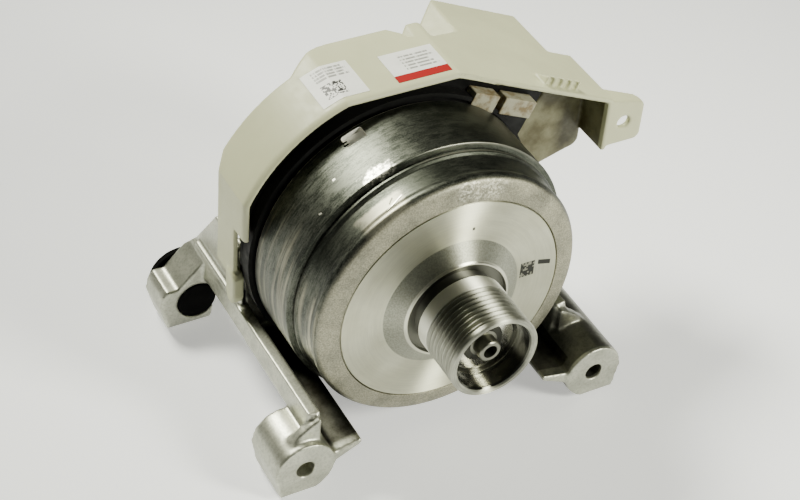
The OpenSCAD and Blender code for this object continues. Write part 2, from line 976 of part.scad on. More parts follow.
module pocket_wall() {
    round_steps = 6;
    end_x = hood_reach - hood_wall / 2;
    end_z = -pocket_end_drop;
    intersection() {
        along_y(pocket_wall_y, pocket_wall_y + hood_wall) polygon(concat(
            [[pocket_x, hood_top],
            [pocket_x, pocket_z],
            [pocket_low_x, pocket_low_z],
            [pocket_low_x, -pocket_drop]],
            [for (i = [0:round_steps]) let(a = 90 * i / round_steps)
                [end_x - pocket_round * (1 - sin(a)), end_z + pocket_round * (1 - cos(a))]],
            [[end_x, hood_top]]));
        along_y(lip_front, lip_front + tail_depth) hood_front(hood_wall / 2, -2 * pocket_drop);
    }
}

// Height of the ear's top edge, which goes on from the end of the roof
function ear_z(x) = slope_z(hood_reach, 0) - ear_sink - (x - hood_reach + hood_wall) * tan(ear_fall);

module ear_outline(x0, x1) {
    turn_x = x1 - ear_round;
    turn_z = ear_z(turn_x) - ear_round / cos(ear_fall);
    polygon([
        [x0, ear_z0],
        [turn_x, ear_z0],
        [x1, ear_z0 + ear_round],
        [x1, turn_z],
        [turn_x + ear_round * sin(ear_fall), turn_z + ear_round * cos(ear_fall)],
        [x0, ear_z(x0)]
    ]);
    for (z = [ear_z0 + ear_round, turn_z])
        translate([turn_x, z]) circle(r = ear_round, $fn = 48);
}

// Ear with a hole, and a tapered plate on top that ties it to the hood's end
module ear() {
    x0 = hood_reach - hood_wall;
    x1 = x0 + ear_w;
    hole_z = (ear_z0 + ear_z(x0 + ear_w / 2)) / 2;
    along_y(lip_front, lip_front + ear_t) difference() {
        ear_outline(x0, x1);
        translate([x0 + ear_w / 2, hole_z]) circle(r = ear_hole_d / 2, $fn = 48);
    }
    intersection() {
        along_y(lip_front, lip_front + ear_back) intersection() {
            ear_outline(x0, x1);
            polygon([
                [x0, ear_z(x0) + ear_t],
                [x0, ear_z(x0) - ear_t],
                [x1, ear_z(x1) - ear_t],
                [x1, ear_z(x1) + ear_t]
            ]);
        }
        linear_extrude(2 * hood_top) polygon([
            [x0, lip_front],
            [x1, lip_front],
            [x1, lip_front + ear_end_back - ear_round],
            [x1 - ear_round, lip_front + ear_end_back],
            [x0, lip_front + ear_back]
        ]);
    }
}

// Ramp on the roof whose front has a row of finger slots
module grips() {
    sink = hood_wall / 2;
    translate([grip_x, lip_front + grip_setback, slope_z(grip_x, 0)]) rotate([0, hood_slope, 0])
        difference() {
            rotate([90, 0, 90]) linear_extrude(grip_len)
                polygon([[0, -sink], [0, grip_h], [grip_run, 0], [grip_run, -sink]]);
            for (i = [0:grip_n - 1]) let(x = grip_side + i * (grip_w + grip_rib))
                block(x, x + grip_w, -over, grip_in, 0, grip_h - grip_lip);
        }
}

module clip_tab() {
    tab_in = rail_in + upper_wall_t + seat_gap;
    translate([-hood_left - tab_round / 2, 0, 0]) rotate([90, 0, 90])
        linear_extrude(hood_left + tab_round / 2 - tab_in) polygon([
            [tab_y, tab_z0 + 2 * tab_round],
            [tab_y + tab_round, tab_z0],
            [tab_y + tab_w - tab_round, tab_z0],
            [tab_y + tab_w, tab_z0 + 2 * tab_round],
            [tab_y + tab_w, tab_z1],
            [tab_y + tab_round, tab_z1],
            [tab_y, tab_z1 - tab_round]
        ]);
}

module hood() {
    color("ivory") at_axis() {
        difference() {
            hood_body(0, skirt_z);
            difference() {
                hood_body(hood_wall, skirt_z - over);
                rear_folds(hood_wall);
            }
            rear_folds(0);
            rod(vent_r, lip_front - over, lip_front + tail_depth);
            block(-2 * hood_r, 0, lip_front - over, lip_front + skirt_step, skirt_z - over, skirt_step_z);
            block(hood_wall - hood_left, hood_reach - hood_wall - eps, lip_front + hood_wall,
                lip_front + tail_depth + over, skirt_z - over, right_foot);
            block(hood_corner, 2 * hood_reach, lip_front - over, lip_front + tail_depth,
                skirt_z - over, right_foot);
            roof_wedge(tail_skirt, tail_x0, hood_reach + over, pocket_wall_y + hood_wall,
                lip_front + tail_depth + over);
            roof_wedge(fold_drop, hood_corner, tail_x0 + eps, pocket_wall_y + hood_wall,
                lip_front + tail_depth + over);
        }
        pocket_wall();
        ear();
        grips();
        clip_tab();
    }
}

module label(x, w, len) {
    color("white") at_axis() intersection() {
        along_y(label_y, label_y + len) difference() {
            hood_front(-label_t, skirt_z);
            hood_front(0, skirt_z - over);
        }
        block(x, x + w, label_y - over, label_y + len + over, hood_top / 2, 2 * hood_top);
    }
}

module rating_label() {
    label(rating_x, rating_w, rating_len);
}

module code_label() {
    label(code_x, code_w, code_len);
}

// Outer block of a connector, laid along the hood's slope in front of the carrier's flange
module plug_room(x, w, gap) {
    drop = hood_wall + plug_drop;
    translate([x, flange_y, slope_z(x, 0)]) rotate([0, hood_slope, 0])
        block(-gap, w + gap, -plug_d - gap, 0, -drop - plug_h - gap, gap - drop);
}

// Black carrier behind the rotor that holds the connectors and the sensor board
module terminal_carrier() {
    sleeve_r = bore_r + yoke_t + press;
    color([0.08, 0.08, 0.08]) at_axis() {
        band(sleeve_r, sleeve_r + sleeve_t, carrier_web_y, plate_y0 - eps);
        difference() {
            union() {
                band(sleeve_r, carrier_r - carrier_rim + eps, carrier_web_y, carrier_web_y + carrier_web_t);
                band(carrier_r - carrier_rim, carrier_r, carrier_y, flange_y + eps);
            }
            plug_room(power_x, power_w, seat_gap);
            plug_room(sensor_x, sensor_w, seat_gap);
        }
        along_y(flange_y, flange_y + flange_t) difference() {
            intersection() {
                hood_front(hood_wall + seat_gap, flange_foot_z);
                polygon([
                    [-hood_r, flange_foot_z],
                    [flange_low_x, flange_foot_z],
                    [flange_low_x, flange_low_z],
                    [flange_end_x, flange_end_z],
                    [flange_end_x, hood_r],
                    [-hood_r, hood_r]
                ]);
            }
            circle(r = carrier_r - carrier_rim);
        }
    }
}

module sensor_board() {
    board_y1 = carrier_web_y;
    color("seagreen") at_axis() rotate([0, -90 - board_deg / 2, 0]) rotate([-90, 0, 0])
        rotate_extrude(angle = board_deg)
            translate([board_in, board_y1 - board_t]) square([board_out - board_in, board_t]);
}

// Connector housing with an open front
module connector(x, w, ways) {
    pitch = (w - plug_wall) / ways;
    drop = hood_wall + plug_drop;
    difference() {
        plug_room(x, w, 0);
        translate([x, flange_y, slope_z(x, 0)]) rotate([0, hood_slope, 0]) for (i = [0:ways - 1])
            block(plug_wall + i * pitch, (i + 1) * pitch, -plug_d - over, -plug_wall,
                plug_wall - drop - plug_h, -drop - plug_wall);
    }
}

module power_connector() {
    color("whitesmoke") at_axis() connector(power_x, power_w, power_ways);
}

module sensor_connector() {
    color("whitesmoke") at_axis() connector(sensor_x, sensor_w, sensor_ways);
}

bracket();
axle();
front_inner_race();
front_balls();
front_cage();
front_outer_race();
front_seals();
bearing_circlip();
rear_inner_race();
rear_balls();
rear_cage();
rear_outer_race();
rear_seals();
drive_pulley();
rotor_disc();
rotor_shell();
back_iron();
magnets();
stator_core();
front_insulator();
rear_insulator();
windings();
stator_screws();
terminal_carrier();
sensor_board();
power_connector();
sensor_connector();
hood();
rating_label();
code_label();
bush_left();
bush_right();
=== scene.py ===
"""Looks of a washing machine motor: turned rotor and pulley, cast cradle, moulded hood."""
import json
import math

import bmesh
import bpy
from mathutils import Matrix, Vector


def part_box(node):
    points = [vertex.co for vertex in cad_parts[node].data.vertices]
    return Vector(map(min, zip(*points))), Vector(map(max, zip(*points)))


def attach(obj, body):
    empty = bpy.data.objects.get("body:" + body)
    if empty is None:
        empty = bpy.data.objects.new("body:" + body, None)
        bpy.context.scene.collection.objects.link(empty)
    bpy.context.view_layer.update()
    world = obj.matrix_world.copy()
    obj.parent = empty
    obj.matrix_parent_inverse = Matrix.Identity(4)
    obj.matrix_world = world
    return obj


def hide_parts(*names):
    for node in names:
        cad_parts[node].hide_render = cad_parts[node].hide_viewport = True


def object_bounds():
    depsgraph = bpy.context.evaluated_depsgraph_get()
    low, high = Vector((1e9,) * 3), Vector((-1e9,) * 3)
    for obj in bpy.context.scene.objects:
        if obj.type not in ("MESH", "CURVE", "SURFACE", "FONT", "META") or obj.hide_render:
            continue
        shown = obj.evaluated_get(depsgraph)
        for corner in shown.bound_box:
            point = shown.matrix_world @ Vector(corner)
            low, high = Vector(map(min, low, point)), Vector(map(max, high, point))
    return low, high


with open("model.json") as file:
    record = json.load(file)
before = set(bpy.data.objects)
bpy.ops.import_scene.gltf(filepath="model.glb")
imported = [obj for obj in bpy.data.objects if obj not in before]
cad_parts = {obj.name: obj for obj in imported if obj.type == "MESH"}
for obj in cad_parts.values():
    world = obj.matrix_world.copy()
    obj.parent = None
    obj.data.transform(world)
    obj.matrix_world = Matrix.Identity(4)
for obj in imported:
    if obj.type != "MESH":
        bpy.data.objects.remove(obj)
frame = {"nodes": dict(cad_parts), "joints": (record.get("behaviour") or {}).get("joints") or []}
cad_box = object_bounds()
nodes = frame["nodes"]

# The motor axis in metres; outlines and marks are in mm from it and from the disc's front
MM = 0.001
spin = next(joint for joint in frame["joints"] if joint["name"] == "rotor_spin")
AXIS = Vector(spin["pos_m"])

# Camera at the photograph's viewing angle, in degrees and metres
VIEW_AZIMUTH = -31.47
VIEW_ELEVATION = 40.90
VIEW_ROLL = 5.33
VIEW_PLACE = (-0.3110, -0.4522, 0.5643)
LENS = 85.14
SENSOR = 36.0
CLIP_START = 0.01

# Meshes of the turned and of the softened pieces
SEGMENTS = 224
BUSH_SEGMENTS = 64
ARC_STEPS = 5
SIDE_SHARE = 0.49
LEAST_ROUNDING = 0.02
CREASE = math.radians(32)
WELD = 1e-6
SMOOTHING = 0.5
BEVEL_STEPS = 3

# Skins of the softened pieces: voxel in mm, rounds of smoothing, most triangles
CRADLE_SKIN = (0.8, 5, 180000)
HOOD_SKIN = (0.62, 3, 160000)
HOUSING_SKIN = (0.35, 4, 160000)

# Part of a noise's range that holds most of its values
NOISE_LOW = 0.3
NOISE_HIGH = 0.7


def view_axes():
    a, e, roll = (math.radians(v) for v in (VIEW_AZIMUTH, VIEW_ELEVATION, VIEW_ROLL))
    back = Vector((math.sin(a) * math.cos(e), -math.cos(a) * math.cos(e), math.sin(e)))
    level = Vector((math.cos(a), math.sin(a), 0))
    rise = back.cross(level)
    right = level * math.cos(roll) + rise * math.sin(roll)
    up = rise * math.cos(roll) - level * math.sin(roll)
    return right, up, back


def add_camera():
    right, up, back = view_axes()
    camera = bpy.data.objects.new("camera", bpy.data.cameras.new("camera"))
    camera.data.lens = LENS
    camera.data.sensor_width = SENSOR
    camera.data.clip_start = CLIP_START
    turn = Matrix((right, up, back)).transposed().to_4x4()
    camera.matrix_world = Matrix.Translation(VIEW_PLACE) @ turn
    bpy.context.scene.collection.objects.link(camera)
    bpy.context.scene.camera = camera


# Material helpers
class Finish:
    """One node material with short calls for the textures that the finishes share."""

    def __init__(self, name, base, rough, metal=0.0, **sockets):
        self.mat = bpy.data.materials.new(name)
        self.mat.use_nodes = True
        self.tree = self.mat.node_tree
        self.shader = self.tree.nodes["Principled BSDF"]
        self.set("Base Color", base)
        self.set("Roughness", rough)
        self.set("Metallic", metal)
        for socket, value in sockets.items():
            self.set(socket.replace("_", " "), value)
        self.spot = self.node("ShaderNodeTexCoord").outputs["Object"]

    def node(self, kind, **settings):
        made = self.tree.nodes.new(kind)
        for key, value in settings.items():
            setattr(made, key, value)
        return made

    def plug(self, socket, value):
        if isinstance(value, bpy.types.NodeSocket):
            self.tree.links.new(value, socket)
        elif isinstance(value, (tuple, list)) and len(value) == 3 and socket.type == "RGBA":
            socket.default_value = (*value, 1.0)
        else:
            socket.default_value = value

    def set(self, socket, value):
        self.plug(self.shader.inputs[socket], value)

    def math(self, operation, a, b=0.0):
        made = self.node("ShaderNodeMath", operation=operation)
        self.plug(made.inputs[0], a)
        self.plug(made.inputs[1], b)
        return made.outputs[0]

    def product(self, *factors):
        total = factors[0]
        for factor in factors[1:]:
            total = self.math("MULTIPLY", total, factor)
        return total

    def distance(self, a, b):
        """Length of a vector with these two parts."""
        return self.math("SQRT", self.math("ADD", self.product(a, a), self.product(b, b)))

    def parts(self, vector):
        made = self.node("ShaderNodeSeparateXYZ")
        self.plug(made.inputs[0], vector)
        return made.outputs

    def vector(self, x, y, z):
        made = self.node("ShaderNodeCombineXYZ")
        for socket, value in zip(made.inputs, (x, y, z)):
            self.plug(socket, value)
        return made.outputs[0]

    def noise(self, size, detail=4.0, rough=0.55, vector=None):
        made = self.node("ShaderNodeTexNoise")
        self.plug(made.inputs["Vector"], self.spot if vector is None else vector)
        made.inputs["Scale"].default_value = 1.0 / size
        made.inputs["Detail"].default_value = detail
        made.inputs["Roughness"].default_value = rough
        return made.outputs["Fac"]

    def stretched(self, scale, detail, rough):
        """Noise drawn out along x, y and z, by scales per metre."""
        made = self.node("ShaderNodeMapping")
        self.plug(made.inputs["Vector"], self.spot)
        made.inputs["Scale"].default_value = scale
        return self.noise(1.0, detail, rough, made.outputs[0])

    def random_cells(self, u, v):
        """A random value for each cell of a grid with steps of one."""
        grid = self.node("ShaderNodeVectorMath", operation="FLOOR")
        self.plug(grid.inputs[0], self.vector(u, v, 0.0))
        cells = self.node("ShaderNodeTexWhiteNoise", noise_dimensions="2D")
        self.plug(cells.inputs["Vector"], grid.outputs[0])
        return cells.outputs["Value"]

    def ramp(self, value, low, high, start=0.0, end=1.0):
        made = self.node("ShaderNodeMapRange")
        made.interpolation_type = "SMOOTHSTEP"
        self.plug(made.inputs["Value"], value)
        made.inputs["From Min"].default_value = low
        made.inputs["From Max"].default_value = high
        made.inputs["To Min"].default_value = start
        made.inputs["To Max"].default_value = end
        return made.outputs["Result"]

    def spread(self, noise, start=0.0, end=1.0):
        """A noise brought to the range from start to end."""
        return self.ramp(noise, NOISE_LOW, NOISE_HIGH, start, end)

    def zone(self, *limits):
        """Share that is 1 where every value has gone from its first to its second limit in mm."""
        return self.product(*(self.ramp(value, low * MM, high * MM) for value, low, high in limits))

    def mix(self, share, a, b, blend="MIX"):
        made = self.node("ShaderNodeMix", data_type="RGBA", blend_type=blend)
        self.plug(made.inputs["Factor"], share)
        self.plug(made.inputs[6], a)
        self.plug(made.inputs[7], b)
        return made.outputs[2]

    def toned(self, base, tone):
        """A colour made lighter or darker by a tone."""
        return self.mix(1.0, base, self.vector(tone, tone, tone), "MULTIPLY")

    def mix_value(self, share, a, b):
        made = self.node("ShaderNodeMix", data_type="FLOAT")
        self.plug(made.inputs["Factor"], share)
        self.plug(made.inputs[2], a)
        self.plug(made.inputs[3], b)
        return made.outputs[0]

    def bump(self, height, depth, strength):
        made = self.node("ShaderNodeBump")
        made.inputs["Strength"].default_value = strength
        made.inputs["Distance"].default_value = depth
        self.plug(made.inputs["Height"], height)
        last = self.shader.inputs["Normal"].links
        if last:
            self.plug(made.inputs["Normal"], last[0].from_socket)
        self.set("Normal", made.outputs["Normal"])

    def brush_along(self, vector):
        """Lays the brushed grain along a vector of the piece."""
        grain = self.node("ShaderNodeVectorTransform", vector_type="VECTOR",
                          convert_from="OBJECT", convert_to="WORLD")
        self.plug(grain.inputs[0], vector)
        self.set("Tangent", grain.outputs[0])

    def from_axis(self):
        """Place to the right of the motor axis, behind the disc's front and above the axis."""
        x, y, z = self.parts(self.spot)[:3]
        return x, self.math("SUBTRACT", y, AXIS.y), self.math("SUBTRACT", z, AXIS.z)

    def round_axis(self):
        """Distance from the motor axis, unit vector across it and place along it."""
        x, back, level = self.from_axis()
        r = self.distance(x, level)
        return r, self.math("DIVIDE", x, r), self.math("DIVIDE", level, r), back

    def lathe_marks(self, around, along, detail, rough):
        """Noise that runs round the axis: slow round it, fast along it and outwards."""
        r, across, upward, back = self.round_axis()
        vector = self.vector(
            self.product(across, around),
            self.product(upward, around),
            self.product(self.math("ADD", back, r), along))
        return self.noise(1.0, detail, rough, vector)


def plain_steel(name, base, rough):
    finish = Finish(name, base, rough, 1.0)
    finish.set("Roughness", finish.spread(finish.noise(6 * MM), rough * 0.8, rough * 1.25))
    finish.bump(finish.noise(0.3 * MM), 0.01 * MM, 0.4)
    return finish.mat


def plain_moulding(name, base, rough):
    finish = Finish(name, base, rough)
    finish.set("Base Color", finish.toned(base, finish.spread(finish.noise(9 * MM), 0.88, 1.06)))
    finish.bump(finish.noise(0.4 * MM), 0.03 * MM, 0.5)
    return finish.mat


# Pieces turned about the motor axis
def rounded(corners):
    """Outline of (radius, place along the axis, rounding) corners in mm, rounded off."""
    points = []
    count = len(corners)
    for i, (r, y, rounding) in enumerate(corners):
        corner = Vector((r, y))
        before = Vector(corners[i - 1][:2]) - corner
        after = Vector(corners[(i + 1) % count][:2]) - corner
        reach = min(rounding, before.length * SIDE_SHARE, after.length * SIDE_SHARE)
        if reach < LEAST_ROUNDING:
            points.append(corner)
            continue
        start = corner + before.normalized() * reach
        end = corner + after.normalized() * reach
        for step in range(ARC_STEPS + 1):
            t = step / ARC_STEPS
            points.append(start * (1 - t) ** 2 + corner * 2 * t * (1 - t) + end * t ** 2)
    return points


def turning_tree():
    """Geometry nodes that sweep an outline of points round the motor axis."""
    tree = bpy.data.node_groups.new("turned_outline", "GeometryNodeTree")
    for name, kind in (("Outline", "Geometry"), ("Segments", "Int"), ("Crease", "Float"),
                       ("Axis", "Vector"), ("Finish", "Material")):
        tree.interface.new_socket(name, in_out="INPUT", socket_type="NodeSocket" + kind)
    tree.interface.new_socket("Piece", in_out="OUTPUT", socket_type="NodeSocketGeometry")

    def add(kind, **settings):
        made = tree.nodes.new(kind)
        for key, value in settings.items():
            setattr(made, key, value)
        return made

    def link(source, target):
        tree.links.new(source, target)

    def sums(kind, operation, *values):
        made = add(kind, operation=operation)
        for socket, value in zip(made.inputs, values):
            if isinstance(value, (int, float)):
                socket.default_value = value
            else:
                link(value, socket)
        return made.outputs[0]

    def whole(operation, *values):
        return sums("FunctionNodeIntegerMath", operation, *values)

    def real(operation, *values):
        return sums("ShaderNodeMath", operation, *values)

    given = add("NodeGroupInput").outputs
    size = add("GeometryNodeAttributeDomainSize", component="MESH")
    link(given["Outline"], size.inputs["Geometry"])
    count = size.outputs["Point Count"]
    # A grid with one row of points for each point of the outline, and the first row once more
    round_count = whole("ADD", given["Segments"], 1)
    grid = add("GeometryNodeMeshGrid")
    link(whole("ADD", count, 1), grid.inputs["Vertices X"])
    link(round_count, grid.inputs["Vertices Y"])
    index = add("GeometryNodeInputIndex").outputs[0]
    row = whole("FLOORED_MODULO", whole("DIVIDE_FLOOR", index, round_count), count)
    sample = add("GeometryNodeSampleIndex", data_type="FLOAT_VECTOR", domain="POINT")
    link(given["Outline"], sample.inputs["Geometry"])
    link(add("GeometryNodeInputPosition").outputs[0], sample.inputs["Value"])
    link(row, sample.inputs["Index"])
    outline = add("ShaderNodeSeparateXYZ")
    link(sample.outputs["Value"], outline.inputs[0])
    # Each point of a row goes to its place round the axis
    turn = real("DIVIDE", whole("FLOORED_MODULO", index, round_count), given["Segments"])
    angle = real("MULTIPLY", turn, 2 * math.pi)
    spot = add("ShaderNodeCombineXYZ")
    link(real("MULTIPLY", outline.outputs["X"], real("COSINE", angle)), spot.inputs["X"])
    link(outline.outputs["Y"], spot.inputs["Y"])
    link(real("MULTIPLY", outline.outputs["X"], real("SINE", angle)), spot.inputs["Z"])
    moved = add("ShaderNodeVectorMath", operation="ADD")
    link(spot.outputs[0], moved.inputs[0])
    link(given["Axis"], moved.inputs[1])
    place = add("GeometryNodeSetPosition")
    link(grid.outputs["Mesh"], place.inputs["Geometry"])
    link(moved.outputs[0], place.inputs["Position"])
    weld = add("GeometryNodeMergeByDistance")
    weld.inputs["Distance"].default_value = WELD
    link(place.outputs[0], weld.inputs["Geometry"])
    # Smooth faces with sharp edges where the outline turns by more than the crease
    sharp = add("FunctionNodeCompare", data_type="FLOAT", operation="GREATER_THAN")
    link(add("GeometryNodeInputMeshEdgeAngle").outputs["Unsigned Angle"], sharp.inputs[0])
    link(given["Crease"], sharp.inputs[1])
    smooth = add("GeometryNodeSetShadeSmooth", domain="FACE")
    link(weld.outputs["Geometry"], smooth.inputs["Geometry"])
    crease = add("GeometryNodeSetShadeSmooth", domain="EDGE")
    crease.inputs["Shade Smooth"].default_value = False
    link(smooth.outputs["Geometry"], crease.inputs["Geometry"])
    link(sharp.outputs[0], crease.inputs["Selection"])
    real_mesh = add("GeometryNodeRealizeInstances")
    link(crease.outputs["Geometry"], real_mesh.inputs["Geometry"])
    dressed = add("GeometryNodeSetMaterial")
    link(real_mesh.outputs["Geometry"], dressed.inputs["Geometry"])
    link(given["Finish"], dressed.inputs["Material"])
    result = add("NodeGroupOutput")
    link(dressed.outputs["Geometry"], result.inputs["Piece"])
    return tree


TURNING = turning_tree()


def set_input(modifier, name, value):
    for item in modifier.node_group.interface.items_tree:
        if item.name == name and item.in_out == "INPUT":
            modifier[item.identifier] = value


def new_piece(name, mesh):
    piece = bpy.data.objects.new(name, mesh)
    bpy.context.scene.collection.objects.link(piece)
    return piece


def plain_mesh(piece):
    """Turns what the piece's modifiers make into its own mesh."""
    bpy.context.view_layer.update()
    seen = piece.evaluated_get(bpy.context.evaluated_depsgraph_get())
    mesh = bpy.data.meshes.new_from_object(seen)
    piece.modifiers.clear()
    piece.data = mesh


def face_outwards(piece):
    shape = bmesh.new()
    shape.from_mesh(piece.data)
    loose = [edge for edge in shape.edges if not edge.link_faces]
    bmesh.ops.delete(shape, geom=loose, context="EDGES")
    bmesh.ops.recalc_face_normals(shape, faces=shape.faces)
    if shape.calc_volume(signed=True) < 0:
        bmesh.ops.reverse_faces(shape, faces=shape.faces)
    shape.to_mesh(piece.data)
    shape.free()


def turned(name, corners, material, centre=AXIS, segments=SEGMENTS):
    """A closed piece turned from an outline of corners, given from the centre in mm."""
    outline = bpy.data.meshes.new(name)
    outline.from_pydata([(p.x * MM, p.y * MM, 0) for p in rounded(corners)], [], [])
    piece = new_piece(name, outline)
    lathe = piece.modifiers.new("lathe", "NODES")
    lathe.node_group = TURNING
    set_input(lathe, "Segments", segments)
    set_input(lathe, "Crease", CREASE)
    set_input(lathe, "Axis", centre)
    set_input(lathe, "Finish", material)
    plain_mesh(piece)
    face_outwards(piece)
    return piece


def stand_for(piece, body, node):
    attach(piece, body)
    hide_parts(node)


def dress(name, material):
    mesh = nodes[name].data
    mesh.materials.clear()
    mesh.materials.append(material)


# Pieces that start from a copy of a node
def own_copy(name, node):
    """A merged copy of a node's mesh as a piece of its own."""
    mesh = nodes[node].data.copy()
    mesh.materials.clear()
    shape = bmesh.new()
    shape.from_mesh(mesh)
    bmesh.ops.remove_doubles(shape, verts=shape.verts, dist=WELD)
    shape.to_mesh(mesh)
    shape.free()
    return new_piece(name, mesh)


def soften(piece, material, voxel, rounds, most):
    """Rounds off a piece's edges as on a casting or a moulding, in at most so many triangles."""
    skin = piece.modifiers.new("skin", "REMESH")
    skin.mode = "VOXEL"
    skin.voxel_size = voxel * MM
    ease = piece.modifiers.new("ease", "SMOOTH")
    ease.factor = SMOOTHING
    ease.iterations = rounds
    plain_mesh(piece)
    triangles = sum(len(face.vertices) - 2 for face in piece.data.polygons)
    if triangles > most:
        thin = piece.modifiers.new("thin", "DECIMATE")
        thin.ratio = most / triangles
        plain_mesh(piece)
    piece.data.materials.append(material)
    piece.data.shade_smooth()


def close_hollows(piece):
    """Leaves only the outer hull of a piece, as one closed block."""
    shape = bmesh.new()
    shape.from_mesh(piece.data)
    hull = bmesh.ops.convex_hull(shape, input=shape.verts)
    spare = set(hull["geom_interior"] + hull["geom_unused"])
    points = [item for item in spare if isinstance(item, bmesh.types.BMVert)]
    bmesh.ops.delete(shape, geom=points, context="VERTS")
    kept = set(item for item in hull["geom"] if isinstance(item, bmesh.types.BMFace))
    inner = [face for face in shape.faces if face not in kept]
    bmesh.ops.delete(shape, geom=inner, context="FACES_ONLY")
    shape.to_mesh(piece.data)
    shape.free()


# Bored holes of the cradle in mm: place across, chamfer, radii, ends along the axis, and how far
# from the true wall a point of the softened one may lie
HOLE_X = 68.5
HOLE_EDGE = 0.4
BOLT_R = 4.0
BUSH_R = 9.2
BOSS_FRONT = -13.5
BOSS_BACK = 10.5
LUG_FRONT = 95.6
LUG_BACK = 113.2
HOLE_INSIDE = 1.2
HOLE_OUTSIDE = 0.8
HOLE_AHEAD = 0.4


def true_hole(piece, x, radius, front, back):
    """Brings the rim and wall of the bored hole at x, from front to back, to its circle."""
    for vert in piece.data.vertices:
        across = vert.co.x / MM - x
        out = math.hypot(across, vert.co.z / MM)
        behind = (vert.co.y - AXIS.y) / MM
        inset = min(behind - front, back - behind)
        if radius - HOLE_INSIDE < out < radius + HOLE_OUTSIDE and inset > -HOLE_AHEAD:
            wanted = radius + max(0.0, HOLE_EDGE - inset)
            vert.co.x = (x + across * wanted / out) * MM
            vert.co.z *= wanted / out


def cut(piece, cutter):
    saw = piece.modifiers.new("saw", "BOOLEAN")
    saw.operation = "DIFFERENCE"
    saw.solver = "EXACT"
    saw.material_mode = "TRANSFER"
    saw.object = cutter
    plain_mesh(piece)
    bpy.data.objects.remove(cutter)


def cutter_block(name, size, centre, turn, material, rounding):
    """A block with rounded upright edges, in mm, turned about the motor axis."""
    size = [side * MM for side in size]
    centre = [place * MM for place in centre]
    shape = bmesh.new()
    bmesh.ops.create_cube(shape, size=1.0)
    bmesh.ops.scale(shape, vec=size, verts=shape.verts)
    upright = [e for e in shape.edges if abs(e.verts[0].co.z - e.verts[1].co.z) > size[2] / 2]
    bmesh.ops.bevel(shape, geom=upright, offset=rounding * MM, segments=BEVEL_STEPS,
                    affect="EDGES", profile=0.5)
    bmesh.ops.translate(shape, vec=centre, verts=shape.verts)
    tilt = Matrix.Rotation(turn, 3, "Y")
    bmesh.ops.rotate(shape, cent=(0, 0, 0), matrix=tilt, verts=shape.verts)
    bmesh.ops.translate(shape, vec=AXIS, verts=shape.verts)
    mesh = bpy.data.meshes.new(name)
    shape.to_mesh(mesh)
    shape.free()
    mesh.materials.append(material)
    return new_piece(name, mesh)


# Outer faces of the hood in mm from the motor axis, and the rounding of its front edge
HOOD_TOP = 70.6
HOOD_CORNER = 26.0
HOOD_SLOPE = math.radians(24.2)
HOOD_R = 74.7
HOOD_LEFT = 67.7
HOOD_END = 104.5
LIP_FRONT = 50.4
LIP_ROUND = 3.0
LIP_STOP = HOOD_END - 2
LIP_MARGIN = 0.3
POCKET_BACK = 71.4


def hood_faces(x, z):
    """Depth of a place under the nearest outer face of the hood, and that face's normal."""
    fall = (HOOD_TOP - (x - HOOD_CORNER) * math.tan(HOOD_SLOPE) - z) * math.cos(HOOD_SLOPE)
    out = math.hypot(x, z)
    return min(
        (HOOD_TOP - z, (0, 1)),
        (fall, (math.sin(HOOD_SLOPE), math.cos(HOOD_SLOPE))),
        (HOOD_R - out if z > 0 else HOOD_R, (x / out, z / out)),
        (x + HOOD_LEFT, (-1, 0)))


def round_lip(piece):
    """Rounds off the hood's front edge along its roof and its left wall."""
    for vert in piece.data.vertices:
        x, y, z = (vert.co - AXIS) / MM
        back = y - LIP_FRONT
        depth, (nx, nz) = hood_faces(x, z)
        near = -LIP_MARGIN < back < LIP_ROUND and -LIP_MARGIN < depth < LIP_ROUND
        if x > LIP_STOP or not near:
            continue
        corner = Vector((LIP_ROUND - back, LIP_ROUND - depth))
        if corner.length > LIP_ROUND:
            eased = corner * (LIP_ROUND / corner.length)
            sink = corner.y - eased.y
            vert.co += Vector((-nx * sink, corner.x - eased.x, -nz * sink)) * MM


# Finishes
def hood_plastic():
    cream = (0.52, 0.525, 0.34)
    # Dark brown painted shade for the pocket under the right roof
    pocket_shade_brown = (0.058, 0.048, 0.013)
    finish = Finish("hood_plastic", cream, 0.42, Specular_IOR_Level=0.35)
    cloud = finish.spread(finish.noise(28 * MM, 3), 0.95, 1.03)
    speck = finish.ramp(finish.noise(1.6 * MM, 3, 0.6), 0.66, 0.74, 1.0, 0.9)
    clean = finish.toned(cream, finish.product(cloud, speck))
    # Painted shade in the pocket under the right roof, where the roof shades it
    x, back, level = finish.from_axis()
    roof = finish.product(finish.math("SUBTRACT", x, HOOD_CORNER * MM), -math.tan(HOOD_SLOPE))
    under = finish.math("SUBTRACT", finish.math("ADD", roof, HOOD_TOP * MM), level)
    pocket_shade = finish.zone(
        (under, 2.3, 3.6), (x, 30, 44), (x, HOOD_END - 0.8, HOOD_END - 1.2),
        (back, LIP_FRONT + 2.2, LIP_FRONT + 3.4), (back, POCKET_BACK + 0.2, POCKET_BACK - 0.4))
    shade_blotch = finish.spread(finish.noise(13 * MM, 4, 0.6), 0.75, 1.0)
    finish.set("Base Color", finish.mix(finish.product(pocket_shade, shade_blotch), clean, pocket_shade_brown))
    finish.set("Roughness", finish.spread(finish.noise(5 * MM), 0.36, 0.5))
    finish.bump(finish.noise(0.55 * MM, 2), 0.02 * MM, 0.6)
    finish.bump(finish.noise(14 * MM, 2), 0.12 * MM, 0.35)
    return finish.mat


